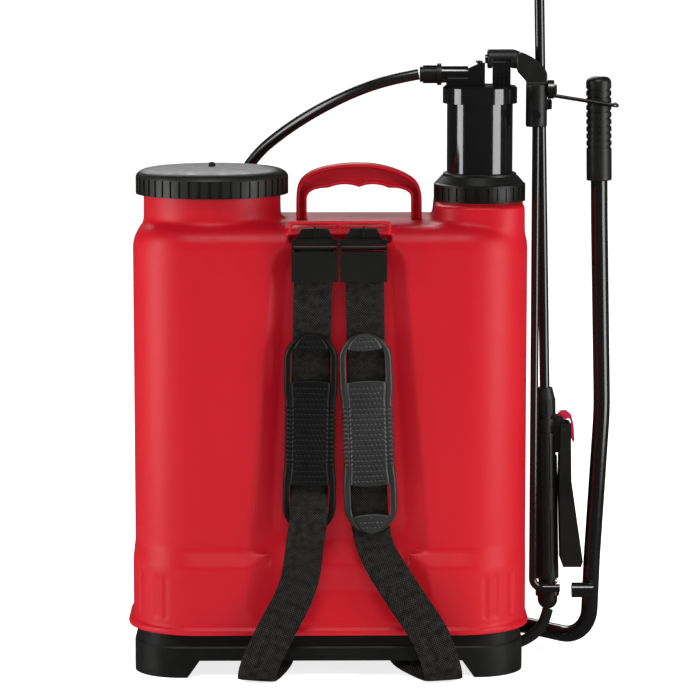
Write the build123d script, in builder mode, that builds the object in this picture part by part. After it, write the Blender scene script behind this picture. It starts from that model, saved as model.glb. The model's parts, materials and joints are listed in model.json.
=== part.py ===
from build123d import *
import os
from math import cos, pi, radians, sin, tan

os.makedirs("parts", exist_ok=True)

# A knapsack sprayer standing on its base. X runs across the wearer's back, Y points away from
# the wearer (the strap side is -Y) and Z is up, with the origin on the floor under the tank.

# ---------------------------------------------------------------- driving dimensions, mm
TANK_X = -2.0                     # the foot of the tank sits a little to the left of its body
BASE_W, BASE_D, BASE_R = 382.0, 180.0, 46.0
BASE_H, SKIRT_H, BASE_WALL, BASE_DECK = 43.0, 31.0, 4.0, 4.5
ARCH_HALF, ARCH_H = 128.0, 17.0   # the opening between the feet
RIM_W, RIM_D, RIM_R, RIM_T = 396.0, 192.0, 70.0, 6.0
PLINTH_W, PLINTH_D, PLINTH_R, PLINTH_TOP = 388.0, 186.0, 66.0, 109.0
BODY_W, BODY_D, BODY_R, BODY_BOTTOM = 386.0, 176.0, 62.0, 126.0
BODY_Y = 3.0                      # the body's mid-plane is set back from the plinth's
DECK_Z = 441.0
TANK_WALL = 3.5

FILLER_X, FILLER_R, FILLER_TOP = -116.0, 67.5, 471.0
CAP_R, CAP_BOTTOM, CAP_TOP = 75.0, 467.0, 493.0

PUMP_X, PUMP_NECK_R, PUMP_NECK_TOP = 147.0, 42.5, 466.0
BARREL_R, BARREL_BORE, BARREL_BOTTOM = 37.5, 34.0, 62.0
CHAMBER_R, CHAMBER_WALL, CHAMBER_TOP, CHAMBER_BOTTOM = 32.3, 2.5, 555.0, 182.0
COLLAR_TOP, PUMP_CAP_TOP = 487.0, 572.0
OUTLET_Z = 583.0
PIVOT_Z = 598.0                   # gooseneck pin above the pump

ROD_X, ROD_Y, ROD_R = 202.0, -6.5, 4.0
HOOK_Z, HOOK_TIP_X = 71.0, 229.0
AXLE_Y, AXLE_Z = 55.0, 20.0       # lever axle in the base
LEVER_R, LEVER_Y = 8.3, 8.0
GRIP_X, GRIP_R, GRIP_BOTTOM, GRIP_TOP = 264.0, 12.5, 478.0, 580.0
FIT = 0.3                         # clearance between pieces that move past each other

LANCE_FOOT = Vector(218.4, 12.0, 46.0)
LANCE_TILT = 1.23                 # degrees the lance leans towards the tank
LANCE = Plane(origin=LANCE_FOOT, x_dir=(cos(radians(LANCE_TILT)), 0, sin(radians(LANCE_TILT))),
              z_dir=(-sin(radians(LANCE_TILT)), 0, cos(radians(LANCE_TILT))))
TUBE_R = 5.0

HOSE_R = 5.5
STRAP_X = (-15.0, 31.7)           # the two buckles, left and right
STRAP_W, STRAP_T = 38.0, 2.4
PAD_W = 51.6


def write(piece, name):
    """Label a finished piece and write it as a STEP file of its own."""
    piece.part.label = name
    export_step(piece.part, f"parts/{name}.step")


def upright(x):
    """A vertical plane through x, for profiles of radius and height."""
    return Plane(origin=(x, 0, 0), x_dir=(1, 0, 0), z_dir=(0, -1, 0))


def ring_sketch(outer, inner):
    """A flat ring, as a sketch on the XY plane."""
    with BuildSketch() as ring:
        Circle(outer)
        Circle(inner, mode=Mode.SUBTRACT)
    return ring.sketch


# ---------------------------------------------------------------- base
CENTRE_FOOT_R = 14.0
FOOT_X, FOOT_Y = 58.0, 56.0       # size of a hollow corner foot
BEARING_X = (176.0, 128.0)        # the two webs that carry the lever axle
BEARING_T = 12.0
HOSE_ARCH = 30.0                  # width of the notches that let the hose through
HOSE_IN_X = -62.0

with BuildPart() as base:
    with BuildSketch():
        with Locations((TANK_X, 0)):
            RectangleRounded(BASE_W, BASE_D, BASE_R)
    extrude(amount=SKIRT_H)
    chamfer(base.edges().group_by(Axis.Z)[-1], 1.5)
    with BuildSketch(Plane.XY.offset(SKIRT_H)):
        with Locations((TANK_X, 0)):
            RectangleRounded(BASE_W - 6, BASE_D - 6, BASE_R - 3)
    extrude(amount=BASE_H - SKIRT_H)
    with BuildSketch():           # the underside is hollow between the feet
        with Locations((TANK_X, 0)):
            RectangleRounded(BASE_W - 2 * BASE_WALL, BASE_D - 2 * BASE_WALL, BASE_R - BASE_WALL)
        with Locations((TANK_X, 0)):
            with GridLocations(BASE_W - FOOT_X, BASE_D - FOOT_Y, 2, 2):
                Rectangle(FOOT_X, FOOT_Y, mode=Mode.SUBTRACT)
        Circle(CENTRE_FOOT_R, mode=Mode.SUBTRACT)
    extrude(amount=BASE_H - BASE_DECK, mode=Mode.SUBTRACT)
    with BuildSketch():           # pockets that lighten the feet
        with Locations((TANK_X, 0)):
            with GridLocations(BASE_W - FOOT_X, BASE_D - FOOT_Y, 2, 2):
                RectangleRounded(FOOT_X - 34, FOOT_Y - 34, 5)
    extrude(amount=BASE_H - BASE_DECK, mode=Mode.SUBTRACT)
    with BuildSketch(Plane.XZ):   # arches through the front and back skirts
        Polygon((-ARCH_HALF - 12, 0), (-ARCH_HALF, ARCH_H), (ARCH_HALF, ARCH_H),
                (ARCH_HALF + 12, 0), align=None)
    extrude(amount=BASE_D, both=True, mode=Mode.SUBTRACT)
    with BuildSketch(Plane.YZ):   # the arch in the left side
        Polygon((-42, 0), (-32, ARCH_H), (32, ARCH_H), (42, 0), align=None)
    extrude(amount=-BASE_W, mode=Mode.SUBTRACT)
    with BuildSketch(Plane.YZ):   # the notch that lets the hose out at the right
        with Locations((LANCE_FOOT.Y, 11)):
            Rectangle(HOSE_ARCH, 34)
    extrude(amount=BASE_W, mode=Mode.SUBTRACT)
    with BuildSketch(Plane.XZ):   # the notch that lets it in at the back
        with Locations((HOSE_IN_X, 12)):
            Rectangle(HOSE_ARCH, 46)
    extrude(amount=-BASE_D, mode=Mode.SUBTRACT)
    with Locations((0, 0, 0)):    # the centre foot reaches the floor
        Cylinder(CENTRE_FOOT_R, BASE_H - 2, align=(Align.CENTER, Align.CENTER, Align.MIN))
    for x in BEARING_X:           # webs for the axle
        with Locations((x, AXLE_Y, BASE_H - 4)):
            Box(BEARING_T, 40, BASE_H - 10, align=(Align.CENTER, Align.CENTER, Align.MAX))
    with Locations(Plane.YZ.offset(BEARING_X[1] - BEARING_T)):
        with Locations((AXLE_Y, AXLE_Z)):
            Cylinder(LEVER_R + 3, 90, align=(Align.CENTER, Align.CENTER, Align.MIN),
                     mode=Mode.SUBTRACT)
write(base, "base")

# four screws that hold the base to the tank, each with its head under the deck
with BuildPart() as base_screws:
    with BuildSketch(Plane.XY.offset(BASE_H - BASE_DECK - 3)):
        with GridLocations(220, 110, 2, 2):
            Circle(5)
    extrude(amount=3)
write(base_screws, "base_screws")

# nylon bushes between the webs and the axle
with BuildPart() as lever_bearing_bushes:
    for x in BEARING_X:
        with BuildSketch(Plane.YZ.offset(x - BEARING_T / 2)):
            with Locations((AXLE_Y, AXLE_Z)):
                Circle(LEVER_R + 3)
                Circle(LEVER_R + 0.08, mode=Mode.SUBTRACT)
        extrude(amount=BEARING_T)
write(lever_bearing_bushes, "lever_bearing_bushes")

# ---------------------------------------------------------------- tank
RECESS_X, RECESS_DEPTH = 8.0, 10.0
PLINTH_RECESS_DEPTH = 9.0
BODY_FRONT, PLINTH_FRONT = BODY_Y - BODY_D / 2, -PLINTH_D / 2
CAVITY_BOTTOM, CAVITY_TOP = BASE_H + TANK_WALL, DECK_Z - TANK_WALL
TOP_ROUND = 22.0
NECK_ROOT = DECK_Z - 40
BOSS_W, BOSS_D, BOSS_CORNER, BOSS_TOP = 88.0, 136.0, 34.0, 459.0  # raised deck under the pump
RAIL_X, RAIL_HALF, RAIL_LOW, RAIL_TOP, RAIL_T = 9.0, 49.5, 433.5, 448.0, 5.0
RAIL_SLOT_LOW, RAIL_SLOT_TOP, RAIL_POST = 437.5, 443.0, 3.0
RAIL_FRONT = BODY_FRONT - 3
GROOVES = ((-1, (29, 39, 60)), (1, (21, 31, 49)))   # side, angles round the plinth's corner


def tapered_panel(top, bottom, half_top, half_bottom, corner):
    """A trapezoid with rounded corners, for a recess seen from the front."""
    with BuildSketch() as panel:
        with BuildLine():
            Polyline((RECESS_X - half_bottom, bottom), (RECESS_X + half_bottom, bottom),
                     (RECESS_X + half_top, top), (RECESS_X - half_top, top), close=True)
        make_face()
        fillet(panel.vertices(), corner)
    return panel.sketch


def plan(width, depth, corner, x=0.0, y=0.0):
    """A rounded rectangle, moved off the origin."""
    with BuildSketch() as outline:
        with Locations((x, y)):
            RectangleRounded(width, depth, corner)
    return outline.sketch


def notched_plan(width, depth, corner, x, y, floor):
    """The same with the recess's thickness taken out of its front."""
    with BuildSketch() as outline:
        add(plan(width, depth, corner, x, y))
        with Locations((RECESS_X, floor)):
            Rectangle(200, 60, align=(Align.CENTER, Align.MAX), mode=Mode.SUBTRACT)
    return outline.sketch


def pump_boss():
    """The raised, rounded block of the tank that the pump's neck stands on."""
    with BuildPart() as boss:
        with BuildSketch(Plane.XY.offset(NECK_ROOT)):
            add(plan(BOSS_W, BOSS_D, BOSS_CORNER, PUMP_X - 1))
        extrude(amount=BOSS_TOP - NECK_ROOT)
        fillet(boss.edges().group_by(Axis.Z)[-1], 4)
    return boss.part


def strap_rail():
    """Two bars with a slot between them, and posts at the ends and in the middle."""
    with BuildPart() as rail:
        with BuildSketch(Plane.XZ.offset(-RAIL_FRONT)):
            with Locations((RAIL_X, (RAIL_LOW + RAIL_TOP) / 2)):
                Rectangle(2 * RAIL_HALF, RAIL_TOP - RAIL_LOW)
            half = RAIL_HALF - RAIL_POST / 2
            with Locations((RAIL_X, (RAIL_SLOT_LOW + RAIL_SLOT_TOP) / 2)):
                with GridLocations(half, 0, 2, 1):
                    Rectangle(half - RAIL_POST, RAIL_SLOT_TOP - RAIL_SLOT_LOW, mode=Mode.SUBTRACT)
        extrude(amount=-RAIL_T)
        with Locations((RAIL_X, RAIL_FRONT + RAIL_T - 1, (RAIL_LOW + DECK_Z) / 2)):   # to the body
            with GridLocations(2 * RAIL_HALF - 3, 0, 2, 1):
                Box(3, 10, DECK_Z - RAIL_LOW, align=(Align.CENTER, Align.MIN, Align.CENTER))
    return rail.part


with BuildPart() as tank_cavity:
    with BuildSketch(Plane.XY.offset(CAVITY_BOTTOM)):
        add(notched_plan(PLINTH_W - 9, PLINTH_D - 2 * TANK_WALL, PLINTH_R - TANK_WALL,
                         TANK_X / 2, 0, PLINTH_FRONT + PLINTH_RECESS_DEPTH + TANK_WALL))
    extrude(amount=PLINTH_TOP - CAVITY_BOTTOM - 4)
    with BuildSketch(Plane.XY.offset(CAVITY_BOTTOM)):
        add(notched_plan(BODY_W - 2 * TANK_WALL, BODY_D - 2 * TANK_WALL, BODY_R - TANK_WALL,
                         0, BODY_Y, BODY_FRONT + RECESS_DEPTH + TANK_WALL))
    extrude(amount=CAVITY_TOP - CAVITY_BOTTOM)
    fillet(tank_cavity.edges().group_by(Axis.Z)[-1], TOP_ROUND - TANK_WALL - 2)
    with BuildSketch(Plane.XY.offset(NECK_ROOT)):
        add(plan(BOSS_W - 2 * TANK_WALL, BOSS_D - 2 * TANK_WALL, BOSS_CORNER - TANK_WALL, PUMP_X - 1))
    extrude(amount=BOSS_TOP - TANK_WALL - NECK_ROOT)
    for x, radius, top in ((FILLER_X, FILLER_R, FILLER_TOP), (PUMP_X, PUMP_NECK_R, PUMP_NECK_TOP)):
        with BuildSketch(Plane.XY.offset(NECK_ROOT)):
            with Locations((x, 0)):
                Circle(radius - TANK_WALL)
        extrude(amount=top - NECK_ROOT)

with BuildPart() as tank:
    with BuildSketch(Plane.XY.offset(BASE_H)):                # rim
        add(plan(RIM_W, RIM_D, RIM_R, TANK_X))
    extrude(amount=RIM_T)
    fillet(tank.edges().group_by(Axis.Z)[-1], 2)
    with BuildSketch(Plane.XY.offset(BASE_H)):                # plinth
        add(plan(PLINTH_W, PLINTH_D, PLINTH_R, TANK_X / 2))
    extrude(amount=PLINTH_TOP - BASE_H)
    with BuildSketch(Plane.XY.offset(PLINTH_TOP)):            # sloping ledge
        add(plan(PLINTH_W, PLINTH_D, PLINTH_R, TANK_X / 2))
    with BuildSketch(Plane.XY.offset(BODY_BOTTOM)):
        add(plan(BODY_W, BODY_D, BODY_R, 0, BODY_Y))
    loft()
    with BuildSketch(Plane.XY.offset(BODY_BOTTOM)):           # body
        add(plan(BODY_W, BODY_D, BODY_R, 0, BODY_Y))
    extrude(amount=DECK_Z - BODY_BOTTOM)
    fillet(tank.edges().group_by(Axis.Z)[-1], TOP_ROUND)
    add(pump_boss())
    for x, radius, top in ((FILLER_X, FILLER_R, FILLER_TOP), (PUMP_X, PUMP_NECK_R, PUMP_NECK_TOP)):
        with BuildSketch(Plane.XY.offset(NECK_ROOT)):         # necks
            with Locations((x, 0)):
                Circle(radius)
        extrude(amount=top - NECK_ROOT)
    with BuildSketch(Plane.XZ.offset(-BODY_FRONT + 1)):       # recess for the wearer's spine
        add(tapered_panel(DECK_Z - 12, 104, 64, 92, 26))
    with BuildSketch(Plane.XZ.offset(-BODY_FRONT - RECESS_DEPTH)):
        add(tapered_panel(DECK_Z - 28, 134, 50, 66, 20))
    loft(mode=Mode.SUBTRACT)
    with BuildSketch(Plane.XZ.offset(-PLINTH_FRONT + 1)):     # the same recess in the plinth
        add(tapered_panel(150, 52, 84, 96, 20))
    with BuildSketch(Plane.XZ.offset(-PLINTH_FRONT - PLINTH_RECESS_DEPTH)):
        add(tapered_panel(146, 84, 58, 66, 16))
    loft(mode=Mode.SUBTRACT)
    for side, angles in GROOVES:
        for angle in angles:
            reach = PLINTH_R - 1.2
            x = TANK_X / 2 + side * (PLINTH_W / 2 - PLINTH_R + reach * sin(radians(angle)))
            y = PLINTH_FRONT + PLINTH_R - reach * cos(radians(angle))
            with Locations(Location((x, y, 79), (0, 0, side * angle))):
                Box(7, 6, 44, align=(Align.CENTER, Align.MAX, Align.CENTER), mode=Mode.SUBTRACT)
    with Locations((RAIL_X, BODY_FRONT + RECESS_DEPTH + 1, RAIL_TOP + 5)):   # pocket behind the rail
        Box(2 * RAIL_HALF - 2, 16, 28, align=(Align.CENTER, Align.MAX, Align.MAX), mode=Mode.SUBTRACT)
    add(strap_rail())
    add(tank_cavity.part, mode=Mode.SUBTRACT)
write(tank, "tank")

# ---------------------------------------------------------------- carry handle
HANDLE_X, HANDLE_HALF, HANDLE_TOP, HANDLE_T = 28.0, 62.0, 496.0, 22.0
HANDLE_RIM = 4.0


def handle_frame(inset):
    """The handle seen from the front, with its finger opening; inset thins it all round."""
    low, top = DECK_Z, HANDLE_TOP - inset
    outer, inner = HANDLE_HALF - inset, HANDLE_HALF - 12 + inset
    with BuildSketch() as frame:
        with BuildLine():
            Polyline((HANDLE_X - outer, low), (HANDLE_X - outer, 476 - inset / 2),
                     (HANDLE_X - 40 + inset / 2, top), (HANDLE_X + 40 - inset / 2, top),
                     (HANDLE_X + outer, 476 - inset / 2), (HANDLE_X + outer, low), close=True)
        make_face()
        fillet(frame.vertices().filter_by(lambda v: v.Y > 470), 14)
        with BuildLine():
            Polyline((HANDLE_X - inner, low), (HANDLE_X - inner, 464 - inset),
                     (HANDLE_X - 39 + inset, 479 - inset), (HANDLE_X, 474 - inset),
                     (HANDLE_X + 39 - inset, 479 - inset), (HANDLE_X + inner, 464 - inset),
                     (HANDLE_X + inner, low), close=True)
        make_face(mode=Mode.SUBTRACT)
    return frame.sketch


with BuildPart() as carry_handle:
    with BuildSketch(Plane.XZ):
        add(handle_frame(0))
    extrude(amount=HANDLE_T / 2, both=True)
    for face_y in (-1, 1):        # the web is sunk between two rims
        with BuildSketch(Plane.XZ.offset(face_y * HANDLE_T / 2)):
            add(handle_frame(HANDLE_RIM))
        extrude(amount=-face_y * (HANDLE_T / 2 - 3), mode=Mode.SUBTRACT)
    with Locations((HANDLE_X, 0, DECK_Z)):        # feet
        with GridLocations(2 * HANDLE_HALF - 12, 0, 2, 1):
            Box(16, HANDLE_T + 6, 5, align=(Align.CENTER, Align.CENTER, Align.MIN))
write(carry_handle, "carry_handle")

# ---------------------------------------------------------------- filler
GASKET_Z, CEILING_Z, CAP_SKIRT_TOP = FILLER_TOP + 1.5, FILLER_TOP + 4.5, 486.0
BASKET_R, BASKET_BOTTOM, BASKET_WALL = 61.0, 404.0, 1.5
CAP_RIBS = 48

with BuildPart() as strainer_basket:
    with BuildSketch(Plane.XY.offset(BASKET_BOTTOM)):
        with Locations((FILLER_X, 0)):
            Circle(BASKET_R)
    extrude(amount=GASKET_Z - BASKET_BOTTOM)
    with BuildSketch(Plane.XY.offset(FILLER_TOP)):
        with Locations((FILLER_X, 0)):
            Circle(FILLER_R - 1)
    extrude(amount=GASKET_Z - FILLER_TOP)
    with BuildSketch(Plane.XY.offset(BASKET_BOTTOM + BASKET_WALL)):
        with Locations((FILLER_X, 0)):
            Circle(BASKET_R - BASKET_WALL)
    extrude(amount=GASKET_Z - BASKET_BOTTOM, mode=Mode.SUBTRACT)
    with Locations((FILLER_X, 0, (BASKET_BOTTOM + FILLER_TOP) / 2 - 4)):      # side slots
        with PolarLocations(BASKET_R, 20):
            Box(6, 5, 40, mode=Mode.SUBTRACT)
write(strainer_basket, "strainer_basket")

with BuildPart() as filler_gasket:
    with BuildSketch(Plane.XY.offset(GASKET_Z)):
        with Locations((FILLER_X, 0)):
            add(ring_sketch(FILLER_R, FILLER_R - 9))
    extrude(amount=CEILING_Z - GASKET_Z)
write(filler_gasket, "filler_gasket")

with BuildPart() as filler_cap:
    with BuildSketch(upright(FILLER_X)):
        with BuildLine():
            inner = FILLER_R + 1.2
            crown = Spline((CAP_R - 24, CAP_TOP - 0.8), (CAP_R - 9, CAP_TOP - 2.4),
                           (CAP_R - 3, CAP_SKIRT_TOP + 2), (CAP_R - 1, CAP_SKIRT_TOP))
            Polyline(crown @ 1, (CAP_R, CAP_SKIRT_TOP - 2), (CAP_R, CAP_BOTTOM),
                     (inner, CAP_BOTTOM), (inner, CEILING_Z), (0, CEILING_Z), (0, CAP_TOP), crown @ 0)
        make_face()
    revolve(axis=Axis((FILLER_X, 0, 0), (0, 0, 1)))
    with Locations((FILLER_X, 0, (CAP_BOTTOM + CAP_SKIRT_TOP) / 2 - 1)):
        with PolarLocations(CAP_R + 0.6, CAP_RIBS):
            Box(4, 3.6, 16, mode=Mode.SUBTRACT)
    with Locations((FILLER_X, 0, CAP_TOP)):
        Cylinder(3.5, 8, mode=Mode.SUBTRACT)
write(filler_cap, "filler_cap")

with BuildPart() as cap_vent_valve:
    with Locations((FILLER_X, 0, CAP_TOP - 4)):
        Cylinder(3.5, 5, align=(Align.CENTER, Align.CENTER, Align.MIN))
    fillet(cap_vent_valve.edges().group_by(Axis.Z)[-1], 1.2)
write(cap_vent_valve, "cap_vent_valve")

# ---------------------------------------------------------------- pump
FLANGE_Z = PUMP_NECK_TOP + 1.5    # underside of the barrel's flange
FLANGE_T = 3.5
NUT_TOP, NUT_BOTTOM, NUT_R = 477.0, 459.5, 45.1
COLLAR_Z = FLANGE_Z + FLANGE_T
BALL_R, BALL_HOLE_R = 8.0, 6.0
BALL_RISE = (BALL_R ** 2 - BALL_HOLE_R ** 2) ** 0.5 + 0.05
SEAT_Z = BARREL_BOTTOM + 4
PISTON_T = 14.0
PUMP_AXIS = Axis((PUMP_X, 0, 0), (0, 0, 1))


def turned(points, x, axis):
    """A closed profile of radius and height, turned about a vertical axis."""
    with BuildPart() as body:
        with BuildSketch(upright(x)):
            with BuildLine():
                Polyline(*points, close=True)
            make_face()
        revolve(axis=axis)
    return body.part


with BuildPart() as pump_neck_gasket:
    with BuildSketch(Plane.XY.offset(PUMP_NECK_TOP)):
        with Locations((PUMP_X, 0)):
            add(ring_sketch(PUMP_NECK_R, BARREL_R + 0.5))
    extrude(amount=FLANGE_Z - PUMP_NECK_TOP)
write(pump_neck_gasket, "pump_neck_gasket")

with BuildPart() as pump_barrel:
    add(turned([(BALL_HOLE_R, BARREL_BOTTOM), (BARREL_R, BARREL_BOTTOM), (BARREL_R, FLANGE_Z),
                (PUMP_NECK_R, FLANGE_Z), (PUMP_NECK_R, COLLAR_Z), (BARREL_BORE, COLLAR_Z),
                (BARREL_BORE, SEAT_Z), (BALL_HOLE_R, SEAT_Z)], PUMP_X, PUMP_AXIS))
    with Locations((PUMP_X, 0, SEAT_Z + BALL_RISE + BALL_R + 4)):     # keeps the ball in
        Box(2 * BARREL_BORE + 2, 6, 3, align=(Align.CENTER, Align.CENTER, Align.MIN))
write(pump_barrel, "pump_barrel")

with BuildPart() as foot_valve_ball:
    with Locations((PUMP_X, 0, SEAT_Z + BALL_RISE)):
        Sphere(BALL_R)
write(foot_valve_ball, "foot_valve_ball")

with BuildPart() as suction_strainer:
    add(turned([(0, 50), (20, 50), (20, BARREL_BOTTOM), (17.5, BARREL_BOTTOM), (17.5, 52.5),
                (0, 52.5)], PUMP_X, PUMP_AXIS))
    with Locations((PUMP_X, 0, 57)):
        with PolarLocations(19, 16):
            Box(6, 2.5, 6, mode=Mode.SUBTRACT)
write(suction_strainer, "suction_strainer")

with BuildPart() as pump_ring_nut:
    add(turned([(PUMP_NECK_R + 0.4, NUT_BOTTOM), (NUT_R, NUT_BOTTOM), (NUT_R, NUT_TOP - 1),
                (NUT_R - 1.4, NUT_TOP), (37.5, COLLAR_TOP - 3), (36.5, COLLAR_TOP - 3),
                (36.5, COLLAR_Z + 4.2), (PUMP_NECK_R + 0.4, COLLAR_Z + 4.2)], PUMP_X, PUMP_AXIS))
    with Locations((PUMP_X, 0, (NUT_TOP + NUT_BOTTOM) / 2 - 0.5)):
        with PolarLocations(NUT_R + 0.4, 30):
            Box(3, 5, 13, mode=Mode.SUBTRACT)
write(pump_ring_nut, "pump_ring_nut")

with BuildPart() as pump_guide_collar:
    bore = CHAMBER_R + FIT
    add(turned([(bore, COLLAR_Z), (PUMP_NECK_R - 0.5, COLLAR_Z), (PUMP_NECK_R - 0.5, COLLAR_Z + 4),
                (36.2, COLLAR_Z + 4), (36.2, COLLAR_TOP - 1), (35.2, COLLAR_TOP), (bore, COLLAR_TOP)],
               PUMP_X, PUMP_AXIS))
write(pump_guide_collar, "pump_guide_collar")

# everything from here to the gooseneck rides up and down with the plunger
with BuildPart() as air_chamber:
    with BuildSketch(Plane.XY.offset(CHAMBER_BOTTOM)):
        with Locations((PUMP_X, 0)):
            add(ring_sketch(CHAMBER_R, CHAMBER_R - CHAMBER_WALL))
    extrude(amount=CHAMBER_TOP - CHAMBER_BOTTOM)
write(air_chamber, "air_chamber")

with BuildPart() as piston:
    low = CHAMBER_BOTTOM - PISTON_T
    add(turned([(BALL_HOLE_R, low), (BARREL_BORE - 0.5, low), (BARREL_BORE - 0.5, low + 4),
                (29, low + 4), (29, low + 10), (BARREL_BORE - 0.5, low + 10),
                (BARREL_BORE - 0.5, CHAMBER_BOTTOM), (BALL_HOLE_R, CHAMBER_BOTTOM)],
               PUMP_X, PUMP_AXIS))
    with Locations((PUMP_X, 0, CHAMBER_BOTTOM)):              # cage over the delivery ball
        with GridLocations(24, 0, 2, 1):
            Box(4, 6, 20, align=(Align.CENTER, Align.CENTER, Align.MIN))
        with Locations((0, 0, 18)):
            Box(28, 6, 3, align=(Align.CENTER, Align.CENTER, Align.MIN))
write(piston, "piston")

with BuildPart() as piston_cup:
    with BuildSketch(Plane.XY.offset(CHAMBER_BOTTOM - PISTON_T + 4)):
        with Locations((PUMP_X, 0)):
            add(ring_sketch(BARREL_BORE - 0.06, 29))
    extrude(amount=6)
write(piston_cup, "piston_cup")

with BuildPart() as delivery_valve_ball:
    with Locations((PUMP_X, 0, CHAMBER_BOTTOM + BALL_RISE)):
        Sphere(BALL_R)
write(delivery_valve_ball, "delivery_valve_ball")

CAP_FLANGE_R = 36.5
OUTLET_X, OUTLET_R = 109.0, 8.5
EYE_X, EYE_HALF, EYE_R, PIN_R = 168.0, 9.0, 6.7, 2.5
HEAD_X0, HEAD_X1, HEAD_R = 154.0, 186.0, 9.5

with BuildPart() as air_chamber_cap:
    add(turned([(0, CHAMBER_TOP - 9), (CHAMBER_R - CHAMBER_WALL, CHAMBER_TOP - 9),
                (CHAMBER_R - CHAMBER_WALL, CHAMBER_TOP), (CAP_FLANGE_R, CHAMBER_TOP),
                (CAP_FLANGE_R, PUMP_CAP_TOP - 2), (CAP_FLANGE_R - 2, PUMP_CAP_TOP),
                (0, PUMP_CAP_TOP)], PUMP_X, PUMP_AXIS))
    with BuildSketch(Plane.XZ):                               # wedge from the outlet to the pillar
        with BuildLine():
            Polyline((114, PUMP_CAP_TOP - 1), (114, 579), (148, 594), (151.5, 594),
                     (151.5, PUMP_CAP_TOP - 1), close=True)
        make_face()
    extrude(amount=7.5, both=True)
    with BuildSketch(Plane.YZ.offset(OUTLET_X)):              # outlet
        with Locations((0, OUTLET_Z)):
            Circle(OUTLET_R)
    extrude(amount=26)
    with Locations((EYE_X, 0, PUMP_CAP_TOP - 1)):             # pillar with the gooseneck's eye
        Box(2 * EYE_HALF - 0.6, 10, PIVOT_Z - PUMP_CAP_TOP + 1,
            align=(Align.CENTER, Align.CENTER, Align.MIN))
        with GridLocations(4.4, 0, 4, 1):
            Box(2, 16, 13, align=(Align.CENTER, Align.CENTER, Align.MIN))
    with BuildSketch(Plane.YZ.offset(EYE_X - EYE_HALF + 0.3)):
        with Locations((0, PIVOT_Z)):
            Circle(EYE_R)
    extrude(amount=2 * EYE_HALF - 0.6)
    with BuildSketch(Plane.YZ.offset(EYE_X - EYE_HALF)):
        with Locations((0, PIVOT_Z)):
            Circle(PIN_R + 0.06)
    extrude(amount=2 * EYE_HALF, mode=Mode.SUBTRACT)
    with BuildSketch(Plane.YZ.offset(OUTLET_X)):              # water way out of the chamber
        with Locations((0, OUTLET_Z)):
            Circle(3)
    extrude(amount=PUMP_X - OUTLET_X - 10, mode=Mode.SUBTRACT)
    with Locations((PUMP_X - 12, 0, CHAMBER_TOP - 9)):
        Cylinder(3, OUTLET_Z - CHAMBER_TOP + 9, align=(Align.CENTER, Align.CENTER, Align.MIN),
                 mode=Mode.SUBTRACT)
    with Locations((PUMP_X - 1, 0, 594)):
        Cylinder(2, 8, mode=Mode.SUBTRACT)
write(air_chamber_cap, "air_chamber_cap")

with BuildPart() as pump_cap_screw:
    with Locations((PUMP_X - 1, 0, 590)):
        Cylinder(2, 4, align=(Align.CENTER, Align.CENTER, Align.MIN))
        with Locations((0, 0, 4)):
            Cylinder(3.4, 2.2, align=(Align.CENTER, Align.CENTER, Align.MIN))
write(pump_cap_screw, "pump_cap_screw")

with BuildPart() as riser_tube:
    with BuildSketch(Plane.XY.offset(CHAMBER_BOTTOM + 26)):
        with Locations((PUMP_X - 12, 0)):
            add(ring_sketch(4.5, 3))
    extrude(amount=CHAMBER_TOP - 9 - CHAMBER_BOTTOM - 26)
write(riser_tube, "riser_tube")

with BuildPart() as hose_nut_pump:
    with BuildSketch(Plane.YZ.offset(OUTLET_X)):
        with Locations((0, OUTLET_Z)):
            Circle(10.8)
            Circle(3, mode=Mode.SUBTRACT)
    extrude(amount=-4)
    with BuildSketch(Plane.YZ.offset(OUTLET_X - 4)):
        with Locations((0, OUTLET_Z)):
            Circle(9)
            Circle(3, mode=Mode.SUBTRACT)
    extrude(amount=-14)
    with Locations(Location((OUTLET_X - 11, 0, OUTLET_Z), (0, 90, 0))):
        with PolarLocations(9.2, 14):
            Box(1.6, 1.6, 12, mode=Mode.SUBTRACT)
    with BuildSketch(Plane.YZ.offset(OUTLET_X - 18)):
        with Locations((0, OUTLET_Z)):
            Circle(7.6)
            Circle(3, mode=Mode.SUBTRACT)
    extrude(amount=-3)
write(hose_nut_pump, "hose_nut_pump")

# ---------------------------------------------------------------- gooseneck, latch and pull rod
SLEEVE_R, SLEEVE_BOTTOM, SLEEVE_TOP = 10.5, 532.0, 574.0
BOSS_Z, BOSS_R, BOSS_END = 568.5, 5.0, 222.0
ARM_T = 9.0
FORK_Z, FORK_GAP = 553.5, 14.0

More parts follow.
